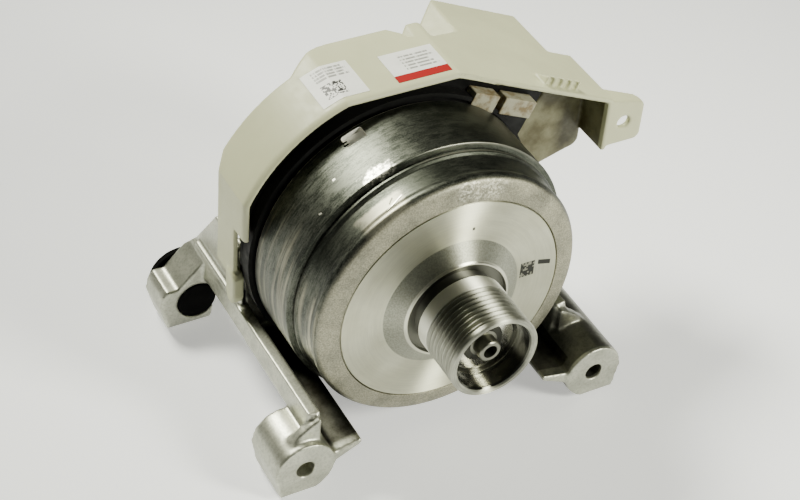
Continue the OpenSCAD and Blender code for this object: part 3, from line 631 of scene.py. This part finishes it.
def cast_aluminium():
    light, dark = (0.52, 0.525, 0.435), (0.38, 0.385, 0.315)
    bright_grain = (0.75, 0.75, 0.64)
    pit_grey = (0.20, 0.205, 0.165)
    # Near black painted shade for the places under and behind the rotor
    painted_shade_black = (0.020, 0.018, 0.012)
    finish = Finish("cast_aluminium", light, 0.4, 0.95)
    grain = finish.noise(0.5 * MM, 3, 0.6)
    smudge = finish.ramp(finish.noise(11 * MM, 4, 0.6), 0.35, 0.7)
    base = finish.mix(smudge, light, dark)
    base = finish.mix(finish.ramp(grain, 0.5, 0.72, 0.0, 0.3), base, bright_grain)
    pitted = finish.ramp(finish.noise(1.3 * MM, 3, 0.7), 0.36, 0.56, 0.35, 0.0)
    base = finish.mix(pitted, base, pit_grey)
    # Painted shade under the rotor, on the right arm and on the dark inner sides behind the rotor
    x, back, level = finish.from_axis()
    aside = finish.math("ABSOLUTE", x)
    under_rotor_shade = finish.zone((aside, 58.6, 57.6), (level, -34.5, -36.5), (back, -10.0, -7.0), (back, 65.0, 62.0))
    arm_shade = finish.zone((x, 36.0, 42.0), (level, -33.0, -36.0), (back, -12.4, -11.4), (back, 40.0, 20.0))
    inner = finish.zone((aside, 62.9, 62.3), (aside, 50.0, 52.0), (level, -31.6, -31.0),
                        (back, 50.0, 54.0), (back, 65.8, 65.2))
    shade_blotch = finish.spread(finish.noise(9 * MM, 4, 0.6), 0.85, 1.0)
    shaded_share = finish.product(finish.math("MAXIMUM", under_rotor_shade, finish.product(arm_shade, 0.75)), shade_blotch)
    finish.set("Base Color", finish.mix(finish.math("MAXIMUM", shaded_share, inner), base, painted_shade_black))
    finish.set("Roughness", finish.spread(grain, 0.36, 0.48))
    finish.bump(grain, 0.03 * MM, 0.4)
    finish.bump(finish.noise(3.5 * MM, 2), 0.08 * MM, 0.4)
    return finish.mat


def round_patch(finish, angle, half, low, high, ragged=0.0, soft=1.5):
    """Share of a mark on the rotor: angle from straight up, half width, ends along the axis."""
    _, across, upward, y = finish.round_axis()
    turn = math.radians(angle)
    wide = math.radians(half)
    toward = finish.math("ADD", finish.product(across, math.sin(turn)),
                         finish.product(upward, math.cos(turn)))
    off = finish.math("ARCCOSINE", toward)
    uneven = finish.math("SUBTRACT", finish.noise(4 * MM, 4, 0.65), 0.5)
    off = finish.math("ADD", off, finish.product(uneven, ragged * wide))
    y = finish.math("ADD", y, finish.product(uneven, ragged * 4 * MM))
    share = finish.ramp(off, wide * 0.55, wide, 1.0, 0.0)
    return finish.product(share, finish.zone((y, low - soft, low + soft), (y, high + soft, high - soft)))


def round_line(finish, start, end, half):
    """Share of a scratch on the rotor between two places, each an angle and a place along the axis."""
    _, across, upward, y = finish.round_axis()
    turn = finish.math("ARCTAN2", across, upward)
    first, last = math.radians(start[0]), math.radians(end[0])
    along = finish.math("DIVIDE", finish.math("SUBTRACT", turn, first), last - first)
    middle = finish.math("ADD", finish.product(along, (end[1] - start[1]) * MM), start[1] * MM)
    gap = finish.math("ABSOLUTE", finish.math("SUBTRACT", y, middle))
    ends = finish.math("ABSOLUTE", finish.math("SUBTRACT", along, 0.5))
    share = finish.ramp(gap, half * 0.5 * MM, half * MM, 1.0, 0.0)
    return finish.product(share, finish.ramp(ends, 0.45, 0.55, 1.0, 0.0))


# Marks on the shell, each with its angle, half width and ends along the axis, and some with a share
# Painted pale reflections, streaked, on the left of the shell
LEFT_REFLECTIONS = ((-84, 32, 22, 52), (-100, 30, 2, 18))
# Painted dark reflections where the shell mirrors dark surroundings
DARK_REFLECTIONS = ((35, 55, 6, 50, 0.35), (-52, 16, 14, 20, 0.6), (-48, 20, 7, 16, 0.35), (-8, 14, 7, 20, 0.55))
TANNED = (-31, 12, 2.8, 12.5)
WORN = (-24, 7.5, 20.2, 25.0)
CHIPPED = (9, 14, 0.2, 2.2)
# Painted highlights, partly polished wear, along the ridge edges
EDGE_HIGHLIGHTS_AND_WEAR = ((22, 34, 17.85, 18.55, 0.5), (22, 34, 20.32, 20.68, 0.3))
# Painted highlight along the rear rim
RIM_HIGHLIGHT = (-40, 60, 49.4, 51.0)
# Scratches on the shell: start and end as angle and place along the axis, and half width
DARK_SCRATCHES = (((-22, 9.2), (-29.6, 6.7), 0.7), ((-25.0, 10.8), (-27.4, 9.0), 0.55))
PALE_SCRATCHES = (((-21.6, 9.6), (-29.2, 7.1), 0.3), ((-37.0, 33.1), (-38.2, 33.2), 0.7),
                  ((-48.3, 25.4), (-49.5, 26.0), 0.6))


def shell_aluminium():
    dark, light = (0.034, 0.038, 0.031), (0.132, 0.139, 0.115)
    reflection_tan = (0.50, 0.465, 0.345)
    reflection_dark_grey = (0.05, 0.055, 0.043)
    oxide_dark, oxide_light = (0.27, 0.26, 0.195), (0.43, 0.415, 0.32)
    tan_film = (0.60, 0.57, 0.44)
    bare_metal = (0.95, 0.94, 0.82)
    chip_metal = (0.88, 0.86, 0.72)
    edge_highlight_and_wear_metal = (0.75, 0.74, 0.61)
    rim_highlight_metal = (0.78, 0.76, 0.62)
    scratch_dark, scratch_pale = (0.05, 0.05, 0.04), (0.92, 0.90, 0.78)
    finish = Finish("shell_aluminium", light, 0.4, 1.0)
    # Turned streaks, patches and grit
    fine = finish.lathe_marks(14, 1300, 5, 0.65)
    broad = finish.lathe_marks(3, 260, 3, 0.55)
    lines = finish.lathe_marks(1.2, 380, 4, 0.6)
    patches = finish.noise(13 * MM, 4, 0.6)
    grit = finish.noise(0.6 * MM, 3, 0.6)
    mottle = finish.product(fine, 0.34)
    for layer, share in ((broad, 0.2), (patches, 0.24), (grit, 0.22)):
        mottle = finish.math("ADD", mottle, finish.product(layer, share))
    base = finish.mix(finish.ramp(mottle, 0.41, 0.59), dark, light)
    streaks = finish.ramp(lines, 0.42, 0.70, 0.0, 0.5)
    # Painted pale reflections, streaked, on the left of the shell
    for mark in LEFT_REFLECTIONS:
        left_reflection = finish.product(round_patch(finish, *mark, ragged=0.6), streaks)
        base = finish.mix(left_reflection, base, reflection_tan)
    # Painted dark reflections where the shell mirrors dark surroundings
    for *mark, share in DARK_REFLECTIONS:
        dark_reflection = finish.product(round_patch(finish, *mark, ragged=0.9), share)
        base = finish.mix(dark_reflection, base, reflection_dark_grey)
    # The pale front ring
    _, back, _ = finish.from_axis()
    front = finish.zone((back, 3.8, 1.6))
    oxide = finish.product(front, finish.ramp(patches, 0.3, 0.62, 0.55, 1.0))
    ring = finish.mix(finish.ramp(grit, 0.35, 0.65), oxide_dark, oxide_light)
    base = finish.mix(oxide, base, ring)
    # Worn places, painted highlights on the ridge edges and rear rim, and scratches
    tan = finish.product(round_patch(finish, *TANNED, ragged=0.6, soft=0.7), 0.4)
    base = finish.mix(tan, base, tan_film)
    broken = finish.ramp(finish.noise(1.6 * MM, 4, 0.65), 0.4, 0.58, 0.15, 1.0)
    worn = finish.product(round_patch(finish, *WORN, ragged=1.8, soft=0.8), broken)
    base = finish.mix(worn, base, bare_metal)
    flakes = finish.ramp(finish.noise(1.3 * MM, 4, 0.7), 0.46, 0.6, 0.0, 0.6)
    chips = finish.product(round_patch(finish, *CHIPPED, ragged=0.8, soft=0.6), flakes)
    base = finish.mix(chips, base, chip_metal)
    # Painted highlights, partly polished wear, along the ridge edges
    for *mark, share in EDGE_HIGHLIGHTS_AND_WEAR:
        edge = finish.product(round_patch(finish, *mark, soft=0.2), share)
        base = finish.mix(edge, base, edge_highlight_and_wear_metal)
    # Painted highlight along the rear rim
    rim_highlight = finish.product(round_patch(finish, *RIM_HIGHLIGHT, ragged=0.2, soft=0.2), 0.6)
    base = finish.mix(rim_highlight, base, rim_highlight_metal)
    for scratch in DARK_SCRATCHES:
        base = finish.mix(finish.product(round_line(finish, *scratch), 0.9), base, scratch_dark)
    for scratch in PALE_SCRATCHES:
        base = finish.mix(round_line(finish, *scratch), base, scratch_pale)
    finish.set("Base Color", base)
    rough = finish.ramp(mottle, 0.36, 0.64, 0.36, 0.46)
    finish.set("Roughness", finish.mix_value(oxide, rough, 0.6))
    finish.bump(fine, 0.014 * MM, 0.4)
    finish.bump(grit, 0.02 * MM, 0.35)
    finish.bump(finish.product(finish.noise(1.4 * MM, 4, 0.65), front), 0.2 * MM, 0.6)
    return finish.mat


# Zones of the front disc by radius, and its etched block, bar and spot, in mm
HUB_R = 30.7
COLLAR_R = 23.8
RECESS_R = 22.45
ETCHED_X, ETCHED_Z = (35.0, 3.3), (4.8, 3.8)
ETCHED_CELL = (0.75, 0.85)
BAR_X, BAR_Z = (42.9, 3.0), (17.7, 1.2)
BAR_SLANT = 0.27
SPOT_X, SPOT_Z = (6.7, 0.55), (35.7, 0.7)
MARK_EDGE = 0.15


def disc_aluminium():
    light, dark = (0.64, 0.64, 0.50), (0.56, 0.555, 0.42)
    turned_grey = (0.46, 0.46, 0.37)
    mark_black = (0.05, 0.05, 0.045)
    blast_dark, blast_light = (0.30, 0.305, 0.25), (0.41, 0.415, 0.34)
    collar_metal = (0.62, 0.615, 0.50)
    # Dark grey painted shade for the hub's recess
    recess_shade_grey = (0.17, 0.17, 0.14)
    finish = Finish("disc_aluminium", light, 0.38, 1.0, Anisotropic=0.98)
    r, across, upward, _ = finish.round_axis()
    x, _, z = finish.from_axis()
    fine = finish.lathe_marks(2.5, 1500, 4, 0.6)
    grit = finish.noise(0.7 * MM, 3, 0.65)
    plate = finish.mix(finish.spread(finish.noise(16 * MM, 3)), light, dark)
    plate = finish.mix(finish.ramp(fine, 0.35, 0.65, 0.0, 0.25), plate, turned_grey)

    def near(value, middle, half):
        off = finish.math("ABSOLUTE", finish.math("SUBTRACT", value, middle * MM))
        return finish.zone((off, half + MARK_EDGE, half - MARK_EDGE))

    cells = finish.random_cells(finish.math("DIVIDE", x, ETCHED_CELL[0] * MM),
                                finish.math("DIVIDE", z, ETCHED_CELL[1] * MM))
    filled = finish.ramp(cells, 0.24, 0.28, 0.5, 1.0)
    etched = finish.product(near(x, *ETCHED_X), near(z, *ETCHED_Z), filled)
    slanted = finish.math("ADD", z, finish.product(x, BAR_SLANT))
    bar = finish.product(near(x, *BAR_X), near(slanted, *BAR_Z))
    spot = finish.product(near(x, *SPOT_X), near(z, *SPOT_Z))
    for mark in (etched, bar, spot):
        plate = finish.mix(mark, plate, mark_black)
    # The blasted hub with its bright collar, and painted shade in its recess
    hub = finish.zone((r, HUB_R + 0.2, HUB_R - 0.2))
    collar = finish.zone((r, COLLAR_R + 0.2, COLLAR_R - 0.2))
    recess_shade = finish.zone((r, RECESS_R + 0.15, RECESS_R - 0.15))
    blasted = finish.mix(finish.ramp(grit, 0.35, 0.65), blast_dark, blast_light)
    blasted = finish.mix(collar, blasted, collar_metal)
    blasted = finish.mix(recess_shade, blasted, recess_shade_grey)
    finish.set("Base Color", finish.mix(hub, plate, blasted))
    hub_rough = finish.mix_value(collar, 0.5, 0.3)
    finish.set("Roughness", finish.mix_value(hub, finish.spread(fine, 0.42, 0.48), hub_rough))
    finish.bump(finish.product(grit, hub), 0.06 * MM, 0.6)
    finish.bump(fine, 0.004 * MM, 0.3)
    finish.brush_along(finish.vector(across, 0.0, upward))
    return finish.mat


def pulley_steel():
    light, dark = (0.52, 0.525, 0.44), (0.36, 0.36, 0.30)
    neck_shade_grey = (0.15, 0.15, 0.125)
    band_highlight_metal = (0.85, 0.85, 0.74)
    bore_reflection_dark = (0.08, 0.08, 0.066)
    finish = Finish("pulley_steel", light, 0.4, 1.0, Anisotropic=0.98)
    r, _, _, y = finish.round_axis()
    fine = finish.lathe_marks(3, 2600, 4, 0.6)
    base = finish.mix(finish.ramp(fine, 0.35, 0.68), light, dark)
    # Painted shade on the neck, a painted highlight on the plain band between it and the ribs, and a
    # painted dark reflection in the polished bore
    neck_shade = finish.zone((y, -8.2, -7.9))
    band = finish.zone((y, -14.9, -14.6), (y, -7.9, -8.2))
    bore = finish.zone((r, 16.9, 16.5))
    base = finish.mix(neck_shade, base, neck_shade_grey)
    base = finish.mix(band, base, band_highlight_metal)
    finish.set("Base Color", finish.mix(bore, base, bore_reflection_dark))
    rough = finish.spread(finish.noise(7 * MM, 4), 0.49, 0.53)
    finish.set("Roughness", finish.mix_value(bore, rough, 0.2))
    finish.brush_along((0.0, 1.0, 0.0))
    return finish.mat


def milled_aluminium():
    finish = Finish("milled_aluminium", (0.95, 0.94, 0.88), 0.45, 0.35)
    marks = finish.stretched((500, 90, 500), 2, 0.5)
    finish.set("Roughness", finish.spread(marks, 0.35, 0.55))
    finish.bump(marks, 0.02 * MM, 0.4)
    return finish.mat


def stained_nylon(name):
    pale, stain_brown, soot_brown = (0.32, 0.305, 0.225), (0.17, 0.125, 0.06), (0.09, 0.075, 0.045)
    finish = Finish(name, pale, 0.5, Specular_IOR_Level=0.3)
    stain = finish.ramp(finish.noise(5 * MM, 4, 0.6), 0.42, 0.66)
    soot = finish.ramp(finish.noise(2.2 * MM, 4, 0.65), 0.56, 0.74, 0.0, 0.7)
    finish.set("Base Color", finish.mix(soot, finish.mix(stain, pale, stain_brown), soot_brown))
    finish.bump(finish.noise(0.9 * MM, 3), 0.06 * MM, 0.5)
    return finish.mat


def bush_rubber():
    black, dust_grey = (0.002, 0.002, 0.002), (0.007, 0.007, 0.006)
    finish = Finish("bush_rubber", black, 0.8, Specular_IOR_Level=0.05)
    dust = finish.ramp(finish.noise(2.5 * MM, 4, 0.6), 0.5, 0.75)
    finish.set("Base Color", finish.mix(finish.product(dust, 0.5), black, dust_grey))
    finish.bump(finish.noise(0.5 * MM), 0.04 * MM, 0.6)
    return finish.mat


def carrier_plastic():
    finish = Finish("carrier_plastic", (0.005, 0.005, 0.005), 0.55, Specular_IOR_Level=0.15)
    finish.set("Roughness", finish.spread(finish.noise(4 * MM), 0.45, 0.65))
    finish.bump(finish.noise(0.4 * MM), 0.03 * MM, 0.5)
    return finish.mat


# Stickers in shares of their width and depth: bars as start, left and right, block as its four sides
BAR_HEIGHT = 0.055
STICKER_CELLS = (34.0, 38.0)
RATING_BAND = 0.22
RATING_BARS = [(0.34 + 0.11 * i, 0.30, 0.92 - 0.06 * (i % 3)) for i in range(5)]
CODE_BARS = [(0.62 + 0.085 * i, 0.18, 0.9 - 0.07 * (i % 2)) for i in range(4)]
CODE_BLOCK = (0.18, 0.62, 0.12, 0.5)


def label_paper(name, node, band, bars, block):
    """White sticker with a coloured band at its front edge, plain grey bars and a random block."""
    white, grey_white = (0.80, 0.80, 0.77), (0.73, 0.73, 0.70)
    bar_grey = (0.12, 0.12, 0.11)
    block_black = (0.03, 0.03, 0.03)
    band_red = (0.30, 0.003, 0.003)
    low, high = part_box(node)
    finish = Finish(name, white, 0.5)
    x, y, _ = finish.parts(finish.spot)[:3]
    u = finish.math("DIVIDE", finish.math("SUBTRACT", x, low.x), high.x - low.x)
    v = finish.math("DIVIDE", finish.math("SUBTRACT", y, low.y), high.y - low.y)
    base = finish.mix(finish.spread(finish.noise(6 * MM)), white, grey_white)

    def inside(value, start, end):
        above = finish.math("GREATER_THAN", value, start)
        return finish.product(above, finish.math("LESS_THAN", value, end))

    broken = finish.ramp(finish.stretched((900, 90, 90), 2, 0.6), 0.38, 0.5, 0.15, 0.75)
    for start, left, right in bars:
        bar = finish.product(inside(v, start, start + BAR_HEIGHT), inside(u, left, right), broken)
        base = finish.mix(bar, base, bar_grey)
    if block:
        left, right, front, back = block
        cells = finish.random_cells(finish.product(u, STICKER_CELLS[0]),
                                    finish.product(v, STICKER_CELLS[1]))
        filled = finish.math("GREATER_THAN", cells, 0.5)
        dark = finish.product(filled, inside(u, left, right), inside(v, front, back))
        base = finish.mix(dark, base, block_black)
    if band:
        base = finish.mix(inside(v, -1.0, band), base, band_red)
    finish.set("Base Color", base)
    return finish.mat


def layered_metal(name, light, dark, rough, metal, scale, detail, depth):
    """Copper turns or iron sheets that lie one behind the other along the axis."""
    finish = Finish(name, light, rough, metal)
    layers = finish.stretched(scale, detail, 0.5)
    finish.set("Base Color", finish.mix(layers, light, dark))
    finish.bump(layers, depth * MM, 0.8)
    return finish.mat


# Outlines of the turned pieces in mm: radius, place behind the disc's front, rounding
SHELL = [
    (49.6, 0.0, 0.2), (54.4, 0.8, 2.5), (58.1, 2.0, 1.2), (59.5, 4.2, 1.0), (59.5, 5.8, 0.8),
    (58.7, 7.6, 1.5), (59.0, 10.9, 1.0), (59.5, 16.4, 0.5), (60.7, 17.6, 0.4), (60.7, 18.9, 0.35),
    (59.9, 19.4, 0.2), (59.9, 19.8, 0.2), (63.0, 20.4, 0.5), (63.0, 49.7, 0.25), (62.3, 50.4, 0.25),
    (57.2, 50.4, 0.2), (57.2, 8.6, 0.5), (44.1, 8.6, 0.3), (44.1, 4.0, 0.0), (49.22, 4.0, 0.0),
    (49.22, 1.1, 0.0)]
DISC = [
    (13.5, -1.0, 0.0), (16.9, -1.0, 0.0), (16.9, -3.0, 0.0), (22.4, -3.0, 0.3), (22.4, -5.4, 0.2),
    (23.0, -5.4, 0.3), (23.5, -4.9, 0.5), (30.0, -0.5, 1.2), (30.6, 0.0, 0.2), (48.9, 0.0, 0.15),
    (49.1, 0.9, 0.0), (49.1, 4.0, 0.0), (22.0, 4.0, 1.0), (22.0, 11.5, 0.5), (17.5, 11.5, 0.3),
    (17.5, 0.5, 0.0), (13.5, 0.5, 0.0)]
BUSH = [
    (0.0, 95.6, 0.0), (8.4, 95.6, 0.3), (9.2, 96.4, 0.3), (9.2, 113.2, 0.0), (14.7, 113.2, 0.3),
    (14.7, 115.8, 0.5), (13.9, 116.6, 0.5), (4.5, 116.6, 0.5), (4.5, 98.6, 0.0), (0.0, 98.6, 0.0)]
PULLEY_BACK = [
    (12.0, -1.0, 0.0), (16.9, -1.0, 0.0), (16.9, -3.0, 0.0), (17.9, -3.0, 0.0), (17.9, -8.08, 0.4)]
PULLEY_FRONT = [
    (19.3, -33.4, 0.25), (19.3, -35.1, 0.3), (18.8, -35.6, 0.3), (17.3, -35.6, 0.2),
    (16.0, -34.3, 0.2), (16.0, -27.2, 0.1), (16.65, -27.2, 0.0), (16.65, -26.0, 0.0),
    (16.0, -26.0, 0.0), (16.0, -16.0, 0.0), (12.0, -16.0, 0.0)]
BAND_END = -8.08
RIB_R = 19.3
GROOVE_R = 17.4
RIB_PITCH = 2.34
RIB_START = -14.68
RIB_FLAT = 0.187
RIB_COUNT = 8
RIB_ROUND = 0.15
GROOVE_ROUND = 0.12


def pulley_outline():
    band = [(RIB_R, BAND_END, 0.5), (RIB_R, RIB_START, 0.25)]
    ribs = []
    for i in range(RIB_COUNT):
        start = RIB_START - i * RIB_PITCH
        crest = RIB_START - (i + 0.5) * RIB_PITCH
        end = RIB_START - (i + 1) * RIB_PITCH
        ribs += [
            (GROOVE_R, start - RIB_FLAT, GROOVE_ROUND), (RIB_R, crest + RIB_FLAT, RIB_ROUND),
            (RIB_R, crest - RIB_FLAT, RIB_ROUND), (GROOVE_R, end + RIB_FLAT, GROOVE_ROUND)]
    return [*PULLEY_BACK, *band, *ribs, *PULLEY_FRONT]


# Milled pocket in the shell and the chatter slots in its left end, in mm and degrees
MILLED_TILT = -22.7
MILLED_Y = 45.0
MILLED_SIZE = (9.4, 6.4, 6.0)
MILLED_HEIGHT = 64.0
MILLED_ROUND = 1.0
SLOT_SIZE = (2.6, 0.9, 4.0)
SLOT_X = -4.2
SLOT_HEIGHT = 61.6
SLOT_ROUND = 0.3
SLOT_STEPS = (-1.7, 0.0, 1.7)


def add_rotor():
    shell = turned("cast_shell", SHELL, shell_aluminium())
    tilt = math.radians(MILLED_TILT)
    bright = milled_aluminium()
    place = (0, MILLED_Y, MILLED_HEIGHT)
    cut(shell, cutter_block("pocket", MILLED_SIZE, place, tilt, bright, MILLED_ROUND))
    # Near black painted shade in the chatter slots
    dark = plain_steel("slot_shade_steel", (0.03, 0.03, 0.025), 0.5)
    for step in SLOT_STEPS:
        place = (SLOT_X, MILLED_Y + step, SLOT_HEIGHT)
        cut(shell, cutter_block("slot", SLOT_SIZE, place, tilt, dark, SLOT_ROUND))
    stand_for(shell, "rotor", "rotor_shell")
    disc = turned("front_disc", DISC, disc_aluminium())
    stand_for(disc, "rotor", "rotor_disc")
    pulley = turned("belt_pulley", pulley_outline(), pulley_steel())
    stand_for(pulley, "rotor", "drive_pulley")


def add_cradle():
    casting = own_copy("cradle_casting", "bracket")
    soften(casting, cast_aluminium(), *CRADLE_SKIN)
    for x in (-HOLE_X, HOLE_X):
        true_hole(casting, x, BOLT_R, BOSS_FRONT, BOSS_BACK)
        true_hole(casting, x, BUSH_R, LUG_FRONT, LUG_BACK)
    stand_for(casting, "cradle", "bracket")
    rubber = bush_rubber()
    for side, node in ((-1, "bush_left"), (1, "bush_right")):
        place = Vector((side * HOLE_X * MM, AXIS.y, 0))
        bush = turned("rubber_" + node, BUSH, rubber, place, BUSH_SEGMENTS)
        stand_for(bush, "cradle", node)


def add_hood():
    moulding = own_copy("hood_moulding", "hood")
    soften(moulding, hood_plastic(), *HOOD_SKIN)
    round_lip(moulding)
    stand_for(moulding, "cradle", "hood")
    dress("rating_label", label_paper("rating_paper", "rating_label", RATING_BAND, RATING_BARS, None))
    dress("code_label", label_paper("code_paper", "code_label", None, CODE_BARS, CODE_BLOCK))
    for name, node in (("power_housing", "power_connector"), ("sensor_housing", "sensor_connector")):
        block = own_copy(name, node)
        close_hollows(block)
        soften(block, stained_nylon(name + "_nylon"), *HOUSING_SKIN)
        stand_for(block, "cradle", node)


def dress_nodes():
    bearing = plain_steel("bearing_steel", (0.66, 0.66, 0.64), 0.16)
    for name in ("rear_inner_race", "rear_outer_race", "front_balls", "rear_balls"):
        dress(name, bearing)
    # Near black painted shade on the front races, for the dark ring round the axle's nose
    for name in ("front_inner_race", "front_outer_race"):
        dress(name, plain_steel("race_shade_steel_" + name, (0.05, 0.05, 0.04), 0.3))
    shield = plain_steel("shield_steel", (0.82, 0.81, 0.70), 0.2)
    for name in ("front_seals", "rear_seals"):
        dress(name, shield)
    for name in ("front_cage", "rear_cage"):
        dress(name, plain_steel("cage_steel_" + name, (0.5, 0.5, 0.48), 0.35))
    dress("axle", plain_steel("axle_steel", (0.20, 0.20, 0.165), 0.34))
    dress("bearing_circlip", plain_steel("spring_steel", (0.70, 0.70, 0.62), 0.18))
    dress("stator_screws", plain_steel("screw_steel", (0.52, 0.52, 0.5), 0.3))
    dress("back_iron", plain_steel("rotor_iron", (0.30, 0.29, 0.28), 0.5))
    dress("magnets", plain_moulding("magnet_ferrite", (0.035, 0.034, 0.036), 0.55))
    dress("stator_core", layered_metal(
        "laminations", light=(0.36, 0.36, 0.37), dark=(0.14, 0.14, 0.15), rough=0.4, metal=1.0,
        scale=(20, 2000, 20), detail=1, depth=0.1))
    for name in ("front_insulator", "rear_insulator"):
        dress(name, plain_moulding("insulator_plastic_" + name, (0.66, 0.64, 0.58), 0.5))
    dress("windings", layered_metal(
        "winding_copper", light=(0.60, 0.25, 0.09), dark=(0.30, 0.10, 0.03), rough=0.3, metal=0.9,
        scale=(60, 1600, 60), detail=2, depth=0.2))
    dress("terminal_carrier", carrier_plastic())
    dress("sensor_board", plain_moulding("board_laminate", (0.04, 0.16, 0.07), 0.4))


# Floor, room and lamps in metres and watts; the floor glows a little, less so further away
FLOOR_REACH = 6.0
FLOOR_GAP = 0.3 * MM
FLOOR_WHITE = (0.84, 0.85, 0.88)
GLOW_TINT = (1.0, 1.0, 0.95)
GLOW_NEAR, GLOW_FAR = 0.35, 1.1
GLOW_STRONG, GLOW_WEAK = 0.5, 0.3
ROOM_TINT = (0.95, 1.0, 0.9, 1)
ROOM_STRENGTH = 0.04
LAMP_TINT = (1.0, 1.0, 0.86)
# Each lamp's name, place, aim, size, power and spread in degrees
LAMPS = (
    ("key_box", (-0.31, 0.76, 0.94), (0.12, -0.04, 0.0), (0.4, 0.3), 2.9, 55),
    ("front_window", (0.65, -0.84, 0.66), (0.0, 0.05, 0.06), (0.28, 0.4), 5.8, 95))


def add_lamp(name, place, aim, size, power, spread):
    lamp = bpy.data.objects.new(name, bpy.data.lights.new(name, "AREA"))
    lamp.data.shape = "RECTANGLE"
    lamp.data.size, lamp.data.size_y = size
    lamp.data.energy = power
    lamp.data.color = LAMP_TINT
    lamp.data.spread = math.radians(spread)
    lamp.location = place
    lamp.rotation_euler = (Vector(aim) - Vector(place)).to_track_quat("-Z", "Y").to_euler()
    bpy.context.scene.collection.objects.link(lamp)


def add_floor():
    depth = cad_box[0].z - FLOOR_GAP
    corners = ((-1, -1), (1, -1), (1, 1), (-1, 1))
    mesh = bpy.data.meshes.new("floor")
    mesh.from_pydata([(x * FLOOR_REACH, y * FLOOR_REACH, depth) for x, y in corners], [], [(0, 1, 2, 3)])
    paper = Finish("floor_paper", FLOOR_WHITE, 0.9, Emission_Color=GLOW_TINT)
    x, y, _ = paper.parts(paper.spot)[:3]
    glow = paper.ramp(paper.distance(x, y), GLOW_NEAR, GLOW_FAR, GLOW_STRONG, GLOW_WEAK)
    paper.set("Emission Strength", glow)
    mesh.materials.append(paper.mat)
    floor = new_piece("floor", mesh)


def add_stage():
    add_floor()
    world = bpy.data.worlds.new("studio")
    bpy.context.scene.world = world
    world.use_nodes = True
    room = world.node_tree.nodes["Background"]
    room.inputs["Color"].default_value = ROOM_TINT
    room.inputs["Strength"].default_value = ROOM_STRENGTH
    for lamp in LAMPS:
        add_lamp(*lamp)


add_camera()
add_stage()
add_rotor()
add_cradle()
add_hood()
dress_nodes()
